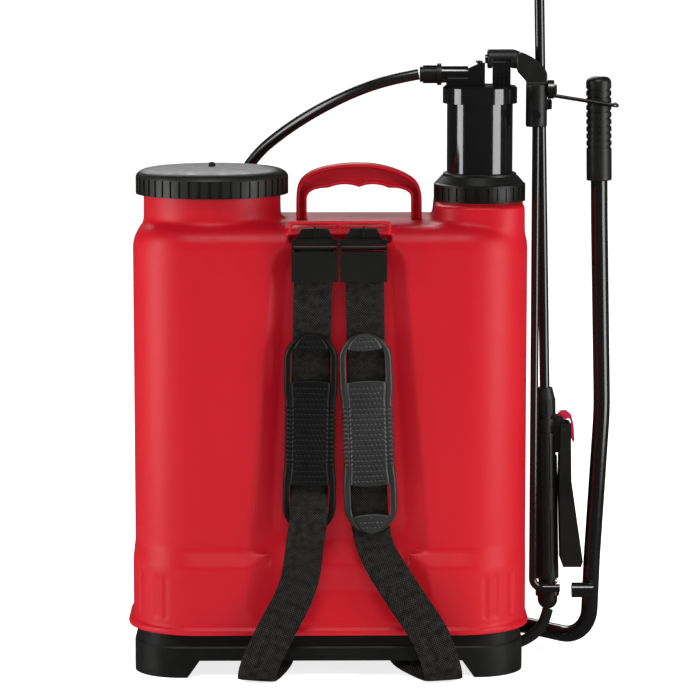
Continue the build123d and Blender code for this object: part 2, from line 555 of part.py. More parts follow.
with BuildPart() as gooseneck:
    with BuildSketch(Plane.YZ.offset(HEAD_X0)):               # head
        with Locations((0, PIVOT_Z)):
            Circle(HEAD_R)
    extrude(amount=HEAD_X1 - HEAD_X0)
    with BuildSketch(Plane.XZ.offset(-ROD_Y - ARM_T / 2)) as arm:      # bent arm to the sleeve
        with BuildLine():
            Polyline((HEAD_X1 - 3, PIVOT_Z + 9), (202, 605), (212.4, 590), (212.4, 560),
                     (192, 560), (192, 576), (HEAD_X1 - 3, 586), close=True)
        make_face()
        fillet(arm.vertices().sort_by(Axis.Y)[-3:], 7)
    extrude(amount=ARM_T)
    with Locations((ROD_X, ROD_Y, SLEEVE_BOTTOM)):            # sleeve for the pull rod
        Cylinder(SLEEVE_R, SLEEVE_TOP - SLEEVE_BOTTOM,
                 align=(Align.CENTER, Align.CENTER, Align.MIN))
    with BuildSketch(Plane.YZ.offset(ROD_X)):                 # boss for the latch
        with Locations((ROD_Y, BOSS_Z)):
            Circle(BOSS_R)
    extrude(amount=BOSS_END - ROD_X)
    lance_x = LANCE_FOOT.X - (FORK_Z - LANCE_FOOT.Z) * tan(radians(LANCE_TILT))
    for side in (-1, 1):                                      # fork that steadies the lance
        with Locations((lance_x + side * (FORK_GAP / 2 + 1.5), ROD_Y, FORK_Z)):
            Box(3, 27, 10, align=(Align.CENTER, Align.MIN, Align.CENTER))
    with Locations((ROD_X + 6, ROD_Y + 2, FORK_Z)):
        Box(18, 7, 10, align=(Align.CENTER, Align.MIN, Align.CENTER))
    with Locations((EYE_X, 0, PIVOT_Z)):                      # room for the pillar and its eye
        Box(2 * EYE_HALF, 30, 20, align=(Align.CENTER, Align.CENTER, Align.MAX),
            mode=Mode.SUBTRACT)
        with Locations(Location((0, 0, 0), (0, 90, 0))):
            Cylinder(EYE_R + FIT, 2 * EYE_HALF, mode=Mode.SUBTRACT)
            Cylinder(PIN_R, 60, mode=Mode.SUBTRACT)
    with Locations((ROD_X, ROD_Y, SLEEVE_BOTTOM)):            # bores for the rod and its screw
        Cylinder(ROD_R, 30, align=(Align.CENTER, Align.CENTER, Align.MIN), mode=Mode.SUBTRACT)
    with Locations(Location((ROD_X, ROD_Y - ROD_R, SLEEVE_BOTTOM + 12), (90, 0, 0))):
        Cylinder(2, 10, align=(Align.CENTER, Align.CENTER, Align.MIN), mode=Mode.SUBTRACT)
write(gooseneck, "gooseneck")

with BuildPart() as gooseneck_pin:
    with BuildSketch(Plane.YZ.offset(HEAD_X0 - 1)):
        with Locations((0, PIVOT_Z)):
            Circle(PIN_R)
    extrude(amount=HEAD_X1 - HEAD_X0 + 2)
    with BuildSketch(Plane.YZ.offset(HEAD_X0 - 0.1)):
        with Locations((0, PIVOT_Z)):
            Circle(4.5)
    extrude(amount=-2)
write(gooseneck_pin, "gooseneck_pin")

with BuildPart() as rod_set_screw:
    with Locations(Location((ROD_X, ROD_Y - ROD_R, SLEEVE_BOTTOM + 12), (90, 0, 0))):
        Cylinder(2, 7, align=(Align.CENTER, Align.CENTER, Align.MIN))
        with Locations((0, 0, SLEEVE_R - ROD_R)):
            Cylinder(3.6, 2.4, align=(Align.CENTER, Align.CENTER, Align.MIN))
write(rod_set_screw, "rod_set_screw")


def rod(points, radii, radius):
    """A round bar along straight runs joined by tangent arcs."""
    with BuildPart() as bar:
        with BuildLine() as path:
            if len(points) == 2:
                Line(*points)
            else:
                FilletPolyline(*points, radius=radii)
        start = Vector(*points[0])
        with BuildSketch(Plane(origin=start, z_dir=Vector(*points[1]) - start)):
            Circle(radius)
        sweep(path=path.wires()[0])
    return bar.part


with BuildPart() as pull_rod:
    add(rod([(ROD_X, ROD_Y, SLEEVE_BOTTOM + 30), (ROD_X, ROD_Y, HOOK_Z),
             (HOOK_TIP_X, ROD_Y, HOOK_Z)], [10], ROD_R))
    with Locations((HOOK_TIP_X - 4, ROD_Y, HOOK_Z)):
        Cylinder(1, 20, mode=Mode.SUBTRACT)
write(pull_rod, "pull_rod")

with BuildPart() as rod_cotter_pin:
    with Locations((HOOK_TIP_X - 4, ROD_Y, HOOK_Z - 7)):
        Cylinder(0.95, 14, align=(Align.CENTER, Align.CENTER, Align.MIN))
        with Locations((0, 0, 14)):
            Sphere(2.2)
write(rod_cotter_pin, "rod_cotter_pin")

LATCH_Y, LATCH_END_X, LATCH_END_Z, WIRE_R = ROD_Y - 4.5, 281.0, 552.5, 1.9
with BuildPart() as latch_hook:
    with BuildSketch(Plane.YZ.offset(213)):                   # loop on the boss
        with Locations((ROD_Y, BOSS_Z)):
            add(ring_sketch(9.2, BOSS_R + 0.06))
    extrude(amount=6)
    add(rod([(216.5, LATCH_Y, 563), (LATCH_END_X, LATCH_Y, LATCH_END_Z),
             (LATCH_END_X, 16, LATCH_END_Z)], [5], WIRE_R))
write(latch_hook, "latch_hook")

# ---------------------------------------------------------------- lever
AXLE_END_X = 118.0
GRIP_LINE = ((266.0, LEVER_Y, 440.0), (GRIP_X, LEVER_Y, 574.0))
LEVER_ROUTE = [(AXLE_END_X, AXLE_Y, AXLE_Z), (197, AXLE_Y, AXLE_Z), (259, LEVER_Y, 15.5),
               (262, LEVER_Y, 100), (270.5, LEVER_Y, 250), GRIP_LINE[0], GRIP_LINE[1]]
LEVER_BENDS = [22, 30, 160, 400, 400]
BUSH_X0, BUSH_X1, BUSH_Z, BUSH_R, BUSH_BORE = 241.0, 262.0, 69.0, 7.5, 4.4
GRIP_RINGS, GRIP_PITCH = 9, 7.0

with BuildPart() as lever_tube:
    add(rod(LEVER_ROUTE, LEVER_BENDS, LEVER_R))
    add(rod(LEVER_ROUTE, LEVER_BENDS, LEVER_R - 1.5), mode=Mode.SUBTRACT)
    with BuildSketch(Plane.YZ.offset(BUSH_X0)):               # short tube for the rod's hook
        with Locations((ROD_Y, BUSH_Z)):
            Circle(BUSH_R)
    extrude(amount=BUSH_X1 - BUSH_X0)
    with BuildSketch(Plane.YZ.offset(BUSH_X0)):
        with Locations((ROD_Y, BUSH_Z)):
            Circle(BUSH_BORE)
    extrude(amount=BUSH_X1 - BUSH_X0, mode=Mode.SUBTRACT)
write(lever_tube, "lever_tube")

with BuildPart() as lever_retaining_rings:
    for x in (AXLE_END_X + 1, BEARING_X[0] + BEARING_T / 2 + 0.4):
        with BuildSketch(Plane.YZ.offset(x)):
            with Locations((AXLE_Y, AXLE_Z)):
                add(ring_sketch(LEVER_R + 3, LEVER_R))
        extrude(amount=2)
write(lever_retaining_rings, "lever_retaining_rings")

grip_start = Vector(*GRIP_LINE[0])
grip_dir = (Vector(*GRIP_LINE[1]) - grip_start).normalized()
GRIP = Plane(origin=grip_start + grip_dir * (GRIP_BOTTOM - GRIP_LINE[0][2]), x_dir=(1, 0, 0.015),
             z_dir=grip_dir)
GRIP_L = GRIP_TOP - GRIP_BOTTOM

with BuildPart() as lever_grip:
    with BuildSketch(GRIP):
        Circle(GRIP_R)
    extrude(amount=GRIP_L)
    fillet(lever_grip.edges().sort_by(Axis.Z)[-1], 6)
    fillet(lever_grip.edges().sort_by(Axis.Z)[0], 1.5)
    for k in range(GRIP_RINGS):
        with BuildSketch(GRIP.offset(GRIP_L - 14 - GRIP_PITCH * k)):
            add(ring_sketch(GRIP_R + 1, GRIP_R - 1.1))
        extrude(amount=2.6, mode=Mode.SUBTRACT)
    with BuildSketch(GRIP):
        Circle(LEVER_R)
    extrude(amount=GRIP_LINE[1][2] - GRIP_BOTTOM + 0.5, mode=Mode.SUBTRACT)
write(lever_grip, "lever_grip")

# ---------------------------------------------------------------- lance, heights along its axis
BODY_LOW, BODY_TOP, VALVE_R = 32.0, 188.0, 11.5
CHAMBER_LOW, CHAMBER_HIGH, VALVE_BORE_R, WATER_R = 162.0, 200.0, 5.6, 3.0
NECK_END, NUT_LOW, NUT_CONE, NUT_HIGH, NECK_R = 212.0, 198.0, 214.0, 225.0, 8.6
TRIGGER_PIN, LOCK_PIN = (18.0, 184.0), (13.5, 193.5)       # outwards and along the lance
TRIGGER_WALL_Y, TRIGGER_EDGE_Y = 12.2, 14.4
FLUTES = 14
TIP_LOW, TIP_HIGH, TIP_REACH = 735.0, 768.0, 26.0
LANCE_FRONT = Plane(origin=LANCE.origin, x_dir=LANCE.x_dir, z_dir=(0, -1, 0))


def lance_disc(radius, low, high, bore=0.0):
    """A disc or ring about the lance's axis."""
    with BuildPart() as disc:
        with BuildSketch(LANCE.offset(low)):
            Circle(radius)
            if bore:
                Circle(bore, mode=Mode.SUBTRACT)
        extrude(amount=high - low)
    return disc.part


def lance_plate(points, half_width, corner=0.0):
    """A plate with a given outline, seen from the front, centred on the lance."""
    with BuildPart() as plate:
        with BuildSketch(LANCE_FRONT) as outline:
            with BuildLine():
                Polyline(*points, close=True)
            make_face()
            if corner:
                fillet(outline.vertices(), corner)
        extrude(amount=half_width, both=True)
    return plate.part


def lance_pin(centre, radius, half_width):
    """A pin across the lance."""
    with BuildPart() as pin:
        with BuildSketch(LANCE_FRONT):
            with Locations(centre):
                Circle(radius)
        extrude(amount=half_width, both=True)
    return pin.part


with BuildPart() as valve_body:
    add(lance_disc(9, 20, BODY_LOW))
    add(lance_disc(VALVE_R, BODY_LOW, BODY_TOP - 8))
    add(lance_disc(9.5, BODY_TOP - 8, BODY_TOP))
    add(lance_disc(10.2, BODY_TOP, NUT_LOW - 4))
    add(lance_disc(NECK_R, NUT_LOW - 4, NECK_END))
    for low, high in ((38, 104), (124, BODY_TOP - 12)):       # flutes above and below a band
        with Locations(LANCE.offset((low + high) / 2)):
            with PolarLocations(VALVE_R + 0.6, FLUTES):
                Box(2.6, 2.6, high - low, mode=Mode.SUBTRACT)
    add(lance_plate([(6, 160), (14, 160), (21.5, 178), (21.5, 188), (16, 197), (6, 197)], 7))
    add(lance_plate([(4, 156), (28, 156), (28, 188), (4, 188)], 4.2), mode=Mode.SUBTRACT)
    add(lance_plate([(10.4, 187), (28, 187), (28, 200), (10.4, 200)], 4.2), mode=Mode.SUBTRACT)
    add(lance_pin(TRIGGER_PIN, 1.5, 20), mode=Mode.SUBTRACT)
    add(lance_pin(LOCK_PIN, 1.2, 20), mode=Mode.SUBTRACT)
    add(lance_disc(WATER_R, 10, NECK_END + 1), mode=Mode.SUBTRACT)
    add(lance_disc(VALVE_BORE_R, CHAMBER_LOW, CHAMBER_HIGH), mode=Mode.SUBTRACT)
    add(lance_disc(TUBE_R, CHAMBER_HIGH + 4, NECK_END + 1), mode=Mode.SUBTRACT)
write(valve_body, "valve_body")

with BuildPart() as valve_plunger:
    add(lance_disc(4.8, CHAMBER_LOW + 1.6, CHAMBER_LOW + 4))
    add(lance_disc(2.4, CHAMBER_LOW + 2, 193))
    add(lance_disc(4.6, 184.1, 186))       # collar that the trigger's finger lifts
write(valve_plunger, "valve_plunger")

with BuildPart() as valve_seal:
    add(lance_disc(4.6, CHAMBER_LOW + 0.05, CHAMBER_LOW + 1.6))
write(valve_seal, "valve_seal")

SPRING_LOW, SPRING_PITCH, SPRING_R, SPRING_WIRE = 186.8, 3.0, 3.7, 0.55
with BuildPart() as valve_spring:
    with BuildLine(LANCE.offset(SPRING_LOW)) as coil:
        Helix(pitch=SPRING_PITCH, height=CHAMBER_HIGH - SPRING_LOW - 0.8, radius=SPRING_R)
    with BuildSketch(Plane(origin=coil.line @ 0, z_dir=coil.line % 0)):
        Circle(SPRING_WIRE)
    sweep(path=coil.wires()[0])
write(valve_spring, "valve_spring")

with BuildPart() as trigger:
    outline = [(24.8, 189.5), (24.6, 132), (35, 50), (33, 44.5), (15, 45), (13, 51), (12.4, 130),
               (14.5, 190)]
    add(lance_plate(outline, TRIGGER_EDGE_Y))
    add(lance_plate([(22.9, 195), (22.1, 131), (32.3, 50), (31, 40), (5, 40), (5, 195)],
                    TRIGGER_WALL_Y), mode=Mode.SUBTRACT)
    for side in (-1, 1):                   # bosses on the pin and a finger between the ears
        with BuildSketch(LANCE_FRONT.offset(side * 7.2)):
            with Locations(TRIGGER_PIN):
                Circle(3.4)
        extrude(amount=side * (TRIGGER_EDGE_Y - 7.2))
    add(lance_plate([(3, 180), (23.2, 180), (23.2, 183.9), (3, 183.9)], 3.7))
    add(lance_plate([(14.5, 180), (23.2, 180), (23.2, 187), (14.5, 187)], 3.7))
    add(lance_pin(TRIGGER_PIN, 1.55, 20), mode=Mode.SUBTRACT)
write(trigger, "trigger")

with BuildPart() as trigger_pin:
    add(lance_pin(TRIGGER_PIN, 1.5, TRIGGER_EDGE_Y))
write(trigger_pin, "trigger_pin")

with BuildPart() as trigger_lock:
    add(lance_plate([(11.4, 191.4), (11.4, 195.6), (13.8, 199.2), (16, 201), (21, 201.4), (26, 197),
                     (28.2, 187), (29, 172), (27.4, 168.5), (26, 173), (25.8, 190), (23.5, 194),
                     (16, 191)], 3.9, 0.7))
    add(lance_pin(LOCK_PIN, 1.25, 20), mode=Mode.SUBTRACT)
write(trigger_lock, "trigger_lock")

with BuildPart() as trigger_lock_pin:
    add(lance_pin(LOCK_PIN, 1.2, 7))
write(trigger_lock_pin, "trigger_lock_pin")

with BuildPart() as lance_nut:
    add(lance_disc(10.7, NUT_LOW, NUT_CONE))
    with BuildSketch(LANCE.offset(NUT_CONE)):
        Circle(10.2)
    with BuildSketch(LANCE.offset(NUT_HIGH)):
        Circle(7.8)
    loft()
    with Locations(LANCE.offset((NUT_LOW + NUT_CONE) / 2)):
        with PolarLocations(11, 16):
            Box(1.6, 1.8, NUT_CONE - NUT_LOW - 1, mode=Mode.SUBTRACT)
    add(lance_disc(NECK_R, NUT_LOW - 1, NECK_END + 1.5), mode=Mode.SUBTRACT)
    add(lance_disc(TUBE_R, NUT_LOW, NUT_HIGH + 1), mode=Mode.SUBTRACT)
write(lance_nut, "lance_nut")

with BuildPart() as lance_nut_seal:
    add(lance_disc(NECK_R - 0.4, NECK_END, NECK_END + 1.5, TUBE_R))
write(lance_nut_seal, "lance_nut_seal")

TIP_ROUTE = [tuple(LANCE.from_local_coords(Vector(*p))) for p in
             ((0, 0, CHAMBER_HIGH + 4), (0, 0, TIP_LOW), (0, -TIP_REACH, TIP_HIGH))]
with BuildPart() as lance_tube:
    add(rod(TIP_ROUTE, [30], TUBE_R))
    add(rod(TIP_ROUTE, [30], TUBE_R - 1.2), mode=Mode.SUBTRACT)
write(lance_tube, "lance_tube")

tip_dir = (Vector(*TIP_ROUTE[2]) - Vector(*TIP_ROUTE[1])).normalized()
TIP = Plane(origin=Vector(*TIP_ROUTE[2]), x_dir=(1, 0, 0), z_dir=tip_dir)


def tip_disc(radius, low, high, bore):
    """A ring about the nozzle's axis, measured from the end of the lance tube."""
    with BuildPart() as disc:
        with BuildSketch(TIP.offset(low)):
            Circle(radius)
            Circle(bore, mode=Mode.SUBTRACT)
        extrude(amount=high - low)
    return disc.part


with BuildPart() as nozzle_body:
    add(tip_disc(7.5, -14, 0, TUBE_R))
    add(tip_disc(6.2, 0, 12, 2))
    add(tip_disc(8.6, -14, -6, TUBE_R))
write(nozzle_body, "nozzle_body")

with BuildPart() as nozzle_seal:
    add(tip_disc(6.0, 12, 13.2, 2))
write(nozzle_seal, "nozzle_seal")

with BuildPart() as nozzle_cap:
    add(tip_disc(9, 0.4, 13.4, 6.28))
    add(tip_disc(9, 13.4, 17, 0.8))
    with Locations(TIP.offset(7.5)):
        with PolarLocations(9.3, 12):
            Box(1.6, 2, 12, mode=Mode.SUBTRACT)
write(nozzle_cap, "nozzle_cap")

HOSE_NUT_R, HOSE_NUT_FLANGE = 10.0, 12.0
with BuildPart() as hose_nut_lance:
    with Locations(LANCE.offset(HOSE_NUT_R)):
        Sphere(HOSE_NUT_R)
    add(lance_disc(HOSE_NUT_R, HOSE_NUT_R, 14.2))
    add(lance_disc(HOSE_NUT_FLANGE, 14.2, 20))
    add(lance_disc(WATER_R, -2, 21), mode=Mode.SUBTRACT)
write(hose_nut_lance, "hose_nut_lance")

# ---------------------------------------------------------------- hose
# one hose, in two lengths that meet half way down the tank's back
HOSE_UPPER = [(86.8, 0, 583), (62, 1.5, 578.5), (30, 9, 568), (-1, 24, 552.5), (-27, 41, 536.5),
              (-50, 58, 519.5), (-70, 75, 502), (-87, 90, 479), (-97, 101, 448), (-101, 107, 410),
              (-100, 108, 366), (-98.5, 107.5, 341)]
HOSE_LOWER = [(-98.5, 107.5, 341), (-97, 107, 316), (-91, 106, 262), (-83, 107, 205),
              (-76, 108.5, 150), (-70, 110, 106), (-66, 109, 72), (-63, 104, 43), (-59, 87, 20),
              (-51, 64, 9.5), (-33, 46, 6.8), (-2, 36, 6.5), (40, 27, 6.4), (88, 19, 6.6),
              (132, 13.5, 6.4), (166, 11.5, 7), (188, 12, 10), (205, 12, 19), (215.5, 12, 32),
              (218.4, 12, 45.4)]


def bend_radii(points):
    """The largest arc at each corner that leaves a tenth of the shorter run straight."""
    corners = [Vector(*p) for p in points]
    radii = []
    for before, at, after in zip(corners, corners[1:], corners[2:]):
        turn = (at - before).get_angle(after - at)
        shorter = min((at - before).length, (after - at).length)
        radii.append(0.45 * shorter / tan(radians(turn / 2)))
    return radii


for hose_name, route in (("hose_upper", HOSE_UPPER), ("hose_lower", HOSE_LOWER)):
    radii = bend_radii(route)
    with BuildPart() as hose:
        add(rod(route, radii, HOSE_R))
    write(hose, hose_name)
    length = hose.part.volume / (pi * HOSE_R ** 2)
    print(hose_name, "length", round(length), "radii", [round(r) for r in radii])

# ---------------------------------------------------------------- straps
HOOK_PLATE_T, HOOK_TOP = 2.4, RAIL_SLOT_LOW + 2.8
PAD_T, PAD_Y = 8.0, -94.0         # back face of a pad
PAD_LEAN = (-0.8, 2.2)            # degrees each pad's top leans to -X
PAD_X, PAD_Z, PAD_L = (-20.0, 36.0), 241.0, 191.0
WINDOW_W, WINDOW_H, WINDOW_IN = 39.4, 31.0, 16.0
# centre, width direction and normal of each station along a strap, from the buckle down
LEFT_STRAP = [((-16, -92, 419), (1, 0, 0), (0, -1, 0)), ((-19, -92, 300), (1, 0, 0), (0, -1, 0)),
              ((-20.8, -92, 198), (1, 0, 0), (0, -1, 0)),
              ((-21, -93.3, 188), (1, 0, 0), (0, -0.96, 0.27)),
              ((-21.2, -102.4, 170), (1, 0, 0), (0, -0.92, 0.4)),
              ((-21.6, -104.3, 160), (1, 0, 0), (0, -1, 0)),
              ((-24.5, -106, 140), (1, 0, -0.08), (0, -1, 0)),
              ((-32, -108, 95), (0.97, 0, -0.25), (0, -1, 0)),
              ((-56, -112, 46), (0.9, 0, -0.42), (0, -1, 0)),
              ((-70, -118, 16), (0.98, 0, -0.2), (0, -1, -0.15)),
              ((-72, -115.5, 5), (1, 0, -0.1), (0, -0.7, -0.7)),
              ((-71, -106, 2.2), (1, 0, -0.05), (0, 0, -1)),
              ((-66, -96, 5), (1, 0, -0.1), (0, 0.35, -0.94)),
              ((-56, -78, 14), (1, 0, -0.1), (0, 0.45, -0.9)),
              ((-52, -66, 27), (1, 0, 0), (0, 0.9, -0.44)),
              ((-52, -64, 33), (1, 0, 0), (0, 1, 0))]
RIGHT_STRAP = [((32.5, -92, 419), (1, 0, 0), (0, -1, 0)), ((34.3, -92, 300), (1, 0, 0), (0, -1, 0)),
               ((39.2, -92, 147), (1, 0, 0.03), (0, -1, 0)),
               ((45, -96.5, 127), (0.98, 0, 0.2), (0, -1, 0)),
               ((64, -106, 95), (0.86, 0, 0.5), (0, -1, 0)),
               ((96, -112, 46), (0.88, 0, 0.48), (0, -1, 0)),
               ((107, -118, 17), (0.97, 0, 0.25), (0, -1, -0.15)),
               ((109, -115.5, 5), (1, 0, 0.1), (0, -0.7, -0.7)),
               ((107, -106, 2.2), (1, 0, 0.05), (0, 0, -1)),
               ((98, -96, 5), (1, 0, 0.1), (0, 0.35, -0.94)),
               ((78, -78, 14), (1, 0, 0.1), (0, 0.45, -0.9)),
               ((70, -66, 27), (1, 0, 0), (0, 0.9, -0.44)),
               ((70, -64, 33), (1, 0, 0), (0, 1, 0))]
ANCHOR_X = (-52.0, 70.0)


def ribbon(stations):
    """Webbing lofted through rectangles set across it."""
    with BuildPart() as band:
        for centre, across, normal in stations:
            along = Vector(*across).cross(Vector(*normal))
            with BuildSketch(Plane(origin=centre, x_dir=across, z_dir=along)):
                Rectangle(STRAP_W, STRAP_T)
        loft(ruled=True)
    return band.part


def strap_pad(x, lean):
    """A moulded pad with a window near each end for the webbing."""
    with BuildPart() as pad:
        with BuildSketch(Plane(origin=(x, PAD_Y, PAD_Z), x_dir=(cos(radians(lean)), 0, sin(radians(lean))),
                               z_dir=(0, -1, 0))):
            RectangleRounded(PAD_W, PAD_L, PAD_W / 2 - 0.5)
            with GridLocations(0, PAD_L - 2 * WINDOW_IN - WINDOW_H, 1, 2):
                Rectangle(WINDOW_W, WINDOW_H, mode=Mode.SUBTRACT)
        extrude(amount=PAD_T)
        chamfer(pad.faces().sort_by(Axis.Y)[0].outer_wire().edges(), 2)
    return pad.part


for side, x in zip(("left", "right"), STRAP_X):
    with BuildPart() as strap_hook:
        front = RAIL_FRONT - FIT
        with BuildSketch(Plane.XZ.offset(-front)):
            with BuildLine():
                Polyline((x - 19, 428.5), (x + 19, 428.5), (x + 12.5, HOOK_TOP),
                         (x - 12.5, HOOK_TOP), close=True)
            make_face()
        extrude(amount=HOOK_PLATE_T)
        with Locations((x, front - HOOK_PLATE_T, HOOK_TOP)):  # through the slot, over the low bar
            Box(24, RAIL_T + 2 * FIT + 2 * HOOK_PLATE_T, HOOK_TOP - RAIL_SLOT_LOW - FIT,
                align=(Align.CENTER, Align.MIN, Align.MAX))
        with Locations((x, RAIL_FRONT + RAIL_T + FIT, HOOK_TOP)):       # down behind it
            Box(24, HOOK_PLATE_T, 13, align=(Align.CENTER, Align.MIN, Align.MAX))
        with Locations((x, front - HOOK_PLATE_T, HOOK_TOP + 2.6)):      # middle rib
            Box(2, 3, 12, align=(Align.CENTER, Align.MAX, Align.MAX))
        with Locations((x, front, HOOK_TOP)):
            Box(2, HOOK_PLATE_T, 2.6, align=(Align.CENTER, Align.MAX, Align.MIN))
    write(strap_hook, f"strap_hook_{side}")

    with BuildPart() as strap_buckle:
        with Locations((x, -91.2, 430.5)):        # bar that joins it to the hook
            Box(45, 4, 5, align=(Align.CENTER, Align.MAX, Align.MAX))
        with Locations((x, -94, 0)):
            with GridLocations(43.4, 0, 2, 1):    # cheeks
                with Locations((0, 0, 390)):
                    Box(1.6, 10, 41, align=(Align.CENTER, Align.CENTER, Align.MIN))
        with Locations(Location((x, -94.2, 422.5), (0, 90, 0))):
            Cylinder(2.6, 44)
        with Locations((x, -97, 390)):            # clamping flap
            Box(45, 2.5, 29, align=(Align.CENTER, Align.MAX, Align.MIN))
    write(strap_buckle, f"strap_buckle_{side}")

for side, stations in (("left", LEFT_STRAP), ("right", RIGHT_STRAP)):
    with BuildPart() as strap_webbing:
        add(ribbon(stations))
    write(strap_webbing, f"strap_webbing_{side}")

for side, x, lean in zip(("left", "right"), PAD_X, PAD_LEAN):
    with BuildPart() as shoulder_pad:
        add(strap_pad(x, lean))
    write(shoulder_pad, f"shoulder_pad_{side}")

for side, x in zip(("left", "right"), ANCHOR_X):
    with BuildPart() as strap_anchor:             # plate that holds the webbing to the base
        with Locations((x, -62.4, BASE_H - BASE_DECK)):
            Box(44, 3, 10, align=(Align.CENTER, Align.MIN, Align.MAX))
    write(strap_anchor, f"strap_anchor_{side}")
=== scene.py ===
import json
import math

import bmesh
import bpy
import numpy as np
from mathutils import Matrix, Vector


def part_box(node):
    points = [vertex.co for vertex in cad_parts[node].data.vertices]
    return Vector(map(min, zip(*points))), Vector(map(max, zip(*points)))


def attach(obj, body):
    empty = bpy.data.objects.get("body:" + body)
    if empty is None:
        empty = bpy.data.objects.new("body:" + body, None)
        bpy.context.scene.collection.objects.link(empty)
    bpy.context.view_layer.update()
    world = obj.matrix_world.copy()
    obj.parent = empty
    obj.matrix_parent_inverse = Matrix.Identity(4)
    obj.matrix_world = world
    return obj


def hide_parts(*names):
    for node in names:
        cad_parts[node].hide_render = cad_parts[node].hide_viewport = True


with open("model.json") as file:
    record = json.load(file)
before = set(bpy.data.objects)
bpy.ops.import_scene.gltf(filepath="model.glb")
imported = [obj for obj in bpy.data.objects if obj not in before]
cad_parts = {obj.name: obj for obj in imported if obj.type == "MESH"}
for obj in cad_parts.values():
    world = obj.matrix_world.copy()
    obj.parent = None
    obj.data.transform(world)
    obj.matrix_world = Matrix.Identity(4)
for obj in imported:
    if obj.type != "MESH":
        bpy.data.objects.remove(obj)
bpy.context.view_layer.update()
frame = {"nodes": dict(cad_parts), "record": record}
MM = 0.001
scene = bpy.context.scene
scene.view_settings.view_transform = "Standard"
BODY = "tank_and_base"

# ---------------------------------------------------------------- camera
CAMERA_AT, LOOK_AT = Vector((-0.0153, -3.2753, 0.77)), Vector((0.0196, 0.0, 0.3104))
LENS, SENSOR = 171.8, 36
camera_data = bpy.data.cameras.new("camera")
camera_data.lens, camera_data.sensor_width = LENS, SENSOR
camera = bpy.data.objects.new("camera", camera_data)
camera.location = CAMERA_AT
camera.rotation_euler = (LOOK_AT - CAMERA_AT).to_track_quat("-Z", "Y").to_euler()
scene.collection.objects.link(camera)
scene.camera = camera


# ---------------------------------------------------------------- materials
def new_material(name):
    """A material with its Principled shader and node tree."""
    made = bpy.data.materials.new(name)
    made.use_nodes = True
    return made, made.node_tree, made.node_tree.nodes["Principled BSDF"]


def node(tree, kind, inputs=None, **settings):
    """Adds a shader node, with its settings and the values or links of its inputs."""
    added = tree.nodes.new(kind)
    for key, value in settings.items():
        setattr(added, key, value)
    for key, value in (inputs or {}).items():
        if isinstance(value, bpy.types.NodeSocket):
            tree.links.new(value, added.inputs[key])
        else:
            added.inputs[key].default_value = value
    return added


def noise(tree, where, scale, detail=3.0, rough=0.5):
    """Noise at a scale per metre, as a socket."""
    made = node(tree, "ShaderNodeTexNoise",
                {"Vector": where, "Scale": scale, "Detail": detail, "Roughness": rough})
    return made.outputs["Fac"]


def spread(tree, value, low, high, from_low=0.0, from_high=1.0):
    """A value's range remapped, as a socket."""
    made = node(tree, "ShaderNodeMapRange", {"Value": value, "From Min": from_low,
                                             "From Max": from_high, "To Min": low,
                                             "To Max": high})
    return made.outputs["Result"]


def tint(tree, factor, low, high):
    """A colour between two, by a factor, as a socket."""
    made = node(tree, "ShaderNodeMix", data_type="RGBA")
    tree.links.new(factor, made.inputs[0])
    made.inputs[6].default_value = (*low, 1)
    made.inputs[7].default_value = (*high, 1)
    return made.outputs[2]


def bump(tree, height, strength, distance, normal=None):
    """Bump from a height, on top of another normal if one is given."""
    inputs = {"Height": height, "Strength": strength, "Distance": distance}
    if normal is not None:
        inputs["Normal"] = normal
    return node(tree, "ShaderNodeBump", inputs).outputs["Normal"]


def plastic(name, low, high, rough, grain=0.00012, grain_scale=900, wave=0.0, specular=0.3,
            streak=(1, 1, 1)):
    """Moulded plastic: two close colours, uneven gloss, fine grain and a slow waviness."""
    made, tree, shader = new_material(name)
    where = node(tree, "ShaderNodeTexCoord").outputs["Object"]
    drawn = node(tree, "ShaderNodeMapping", {"Vector": where, "Scale": streak}).outputs[0]
    slow = noise(tree, drawn, 9, 4)
    fine = noise(tree, where, grain_scale, 2, 0.6)
    scuff = noise(tree, where, 70, 6, 0.7)
    tree.links.new(tint(tree, spread(tree, slow, 0, 1, 0.3, 0.7), low, high),
                   shader.inputs["Base Color"])
    tree.links.new(spread(tree, scuff, rough[0], rough[1], 0.3, 0.7), shader.inputs["Roughness"])
    normal = bump(tree, fine, 0.6, grain)
    if wave:
        normal = bump(tree, noise(tree, where, 22, 2, 0.4), 0.5, wave, normal)
    tree.links.new(normal, shader.inputs["Normal"])
    shader.inputs["Specular IOR Level"].default_value = specular
    return made


def metal(name, colour, rough, scratch=(1, 1, 0.05)):
    """Plated or polished metal with fine drawn lines."""
    made, tree, shader = new_material(name)
    where = node(tree, "ShaderNodeTexCoord").outputs["Object"]
    stretched = node(tree, "ShaderNodeMapping", {"Vector": where, "Scale": scratch}).outputs[0]
    drawn = noise(tree, stretched, 1500, 3, 0.6)
    tree.links.new(tint(tree, noise(tree, where, 60, 4), [c * 0.82 for c in colour], colour),
                   shader.inputs["Base Color"])
    tree.links.new(spread(tree, drawn, rough[0], rough[1], 0.3, 0.7), shader.inputs["Roughness"])
    tree.links.new(bump(tree, drawn, 0.3, 0.00004), shader.inputs["Normal"])
    shader.inputs["Metallic"].default_value = 1.0
    return made


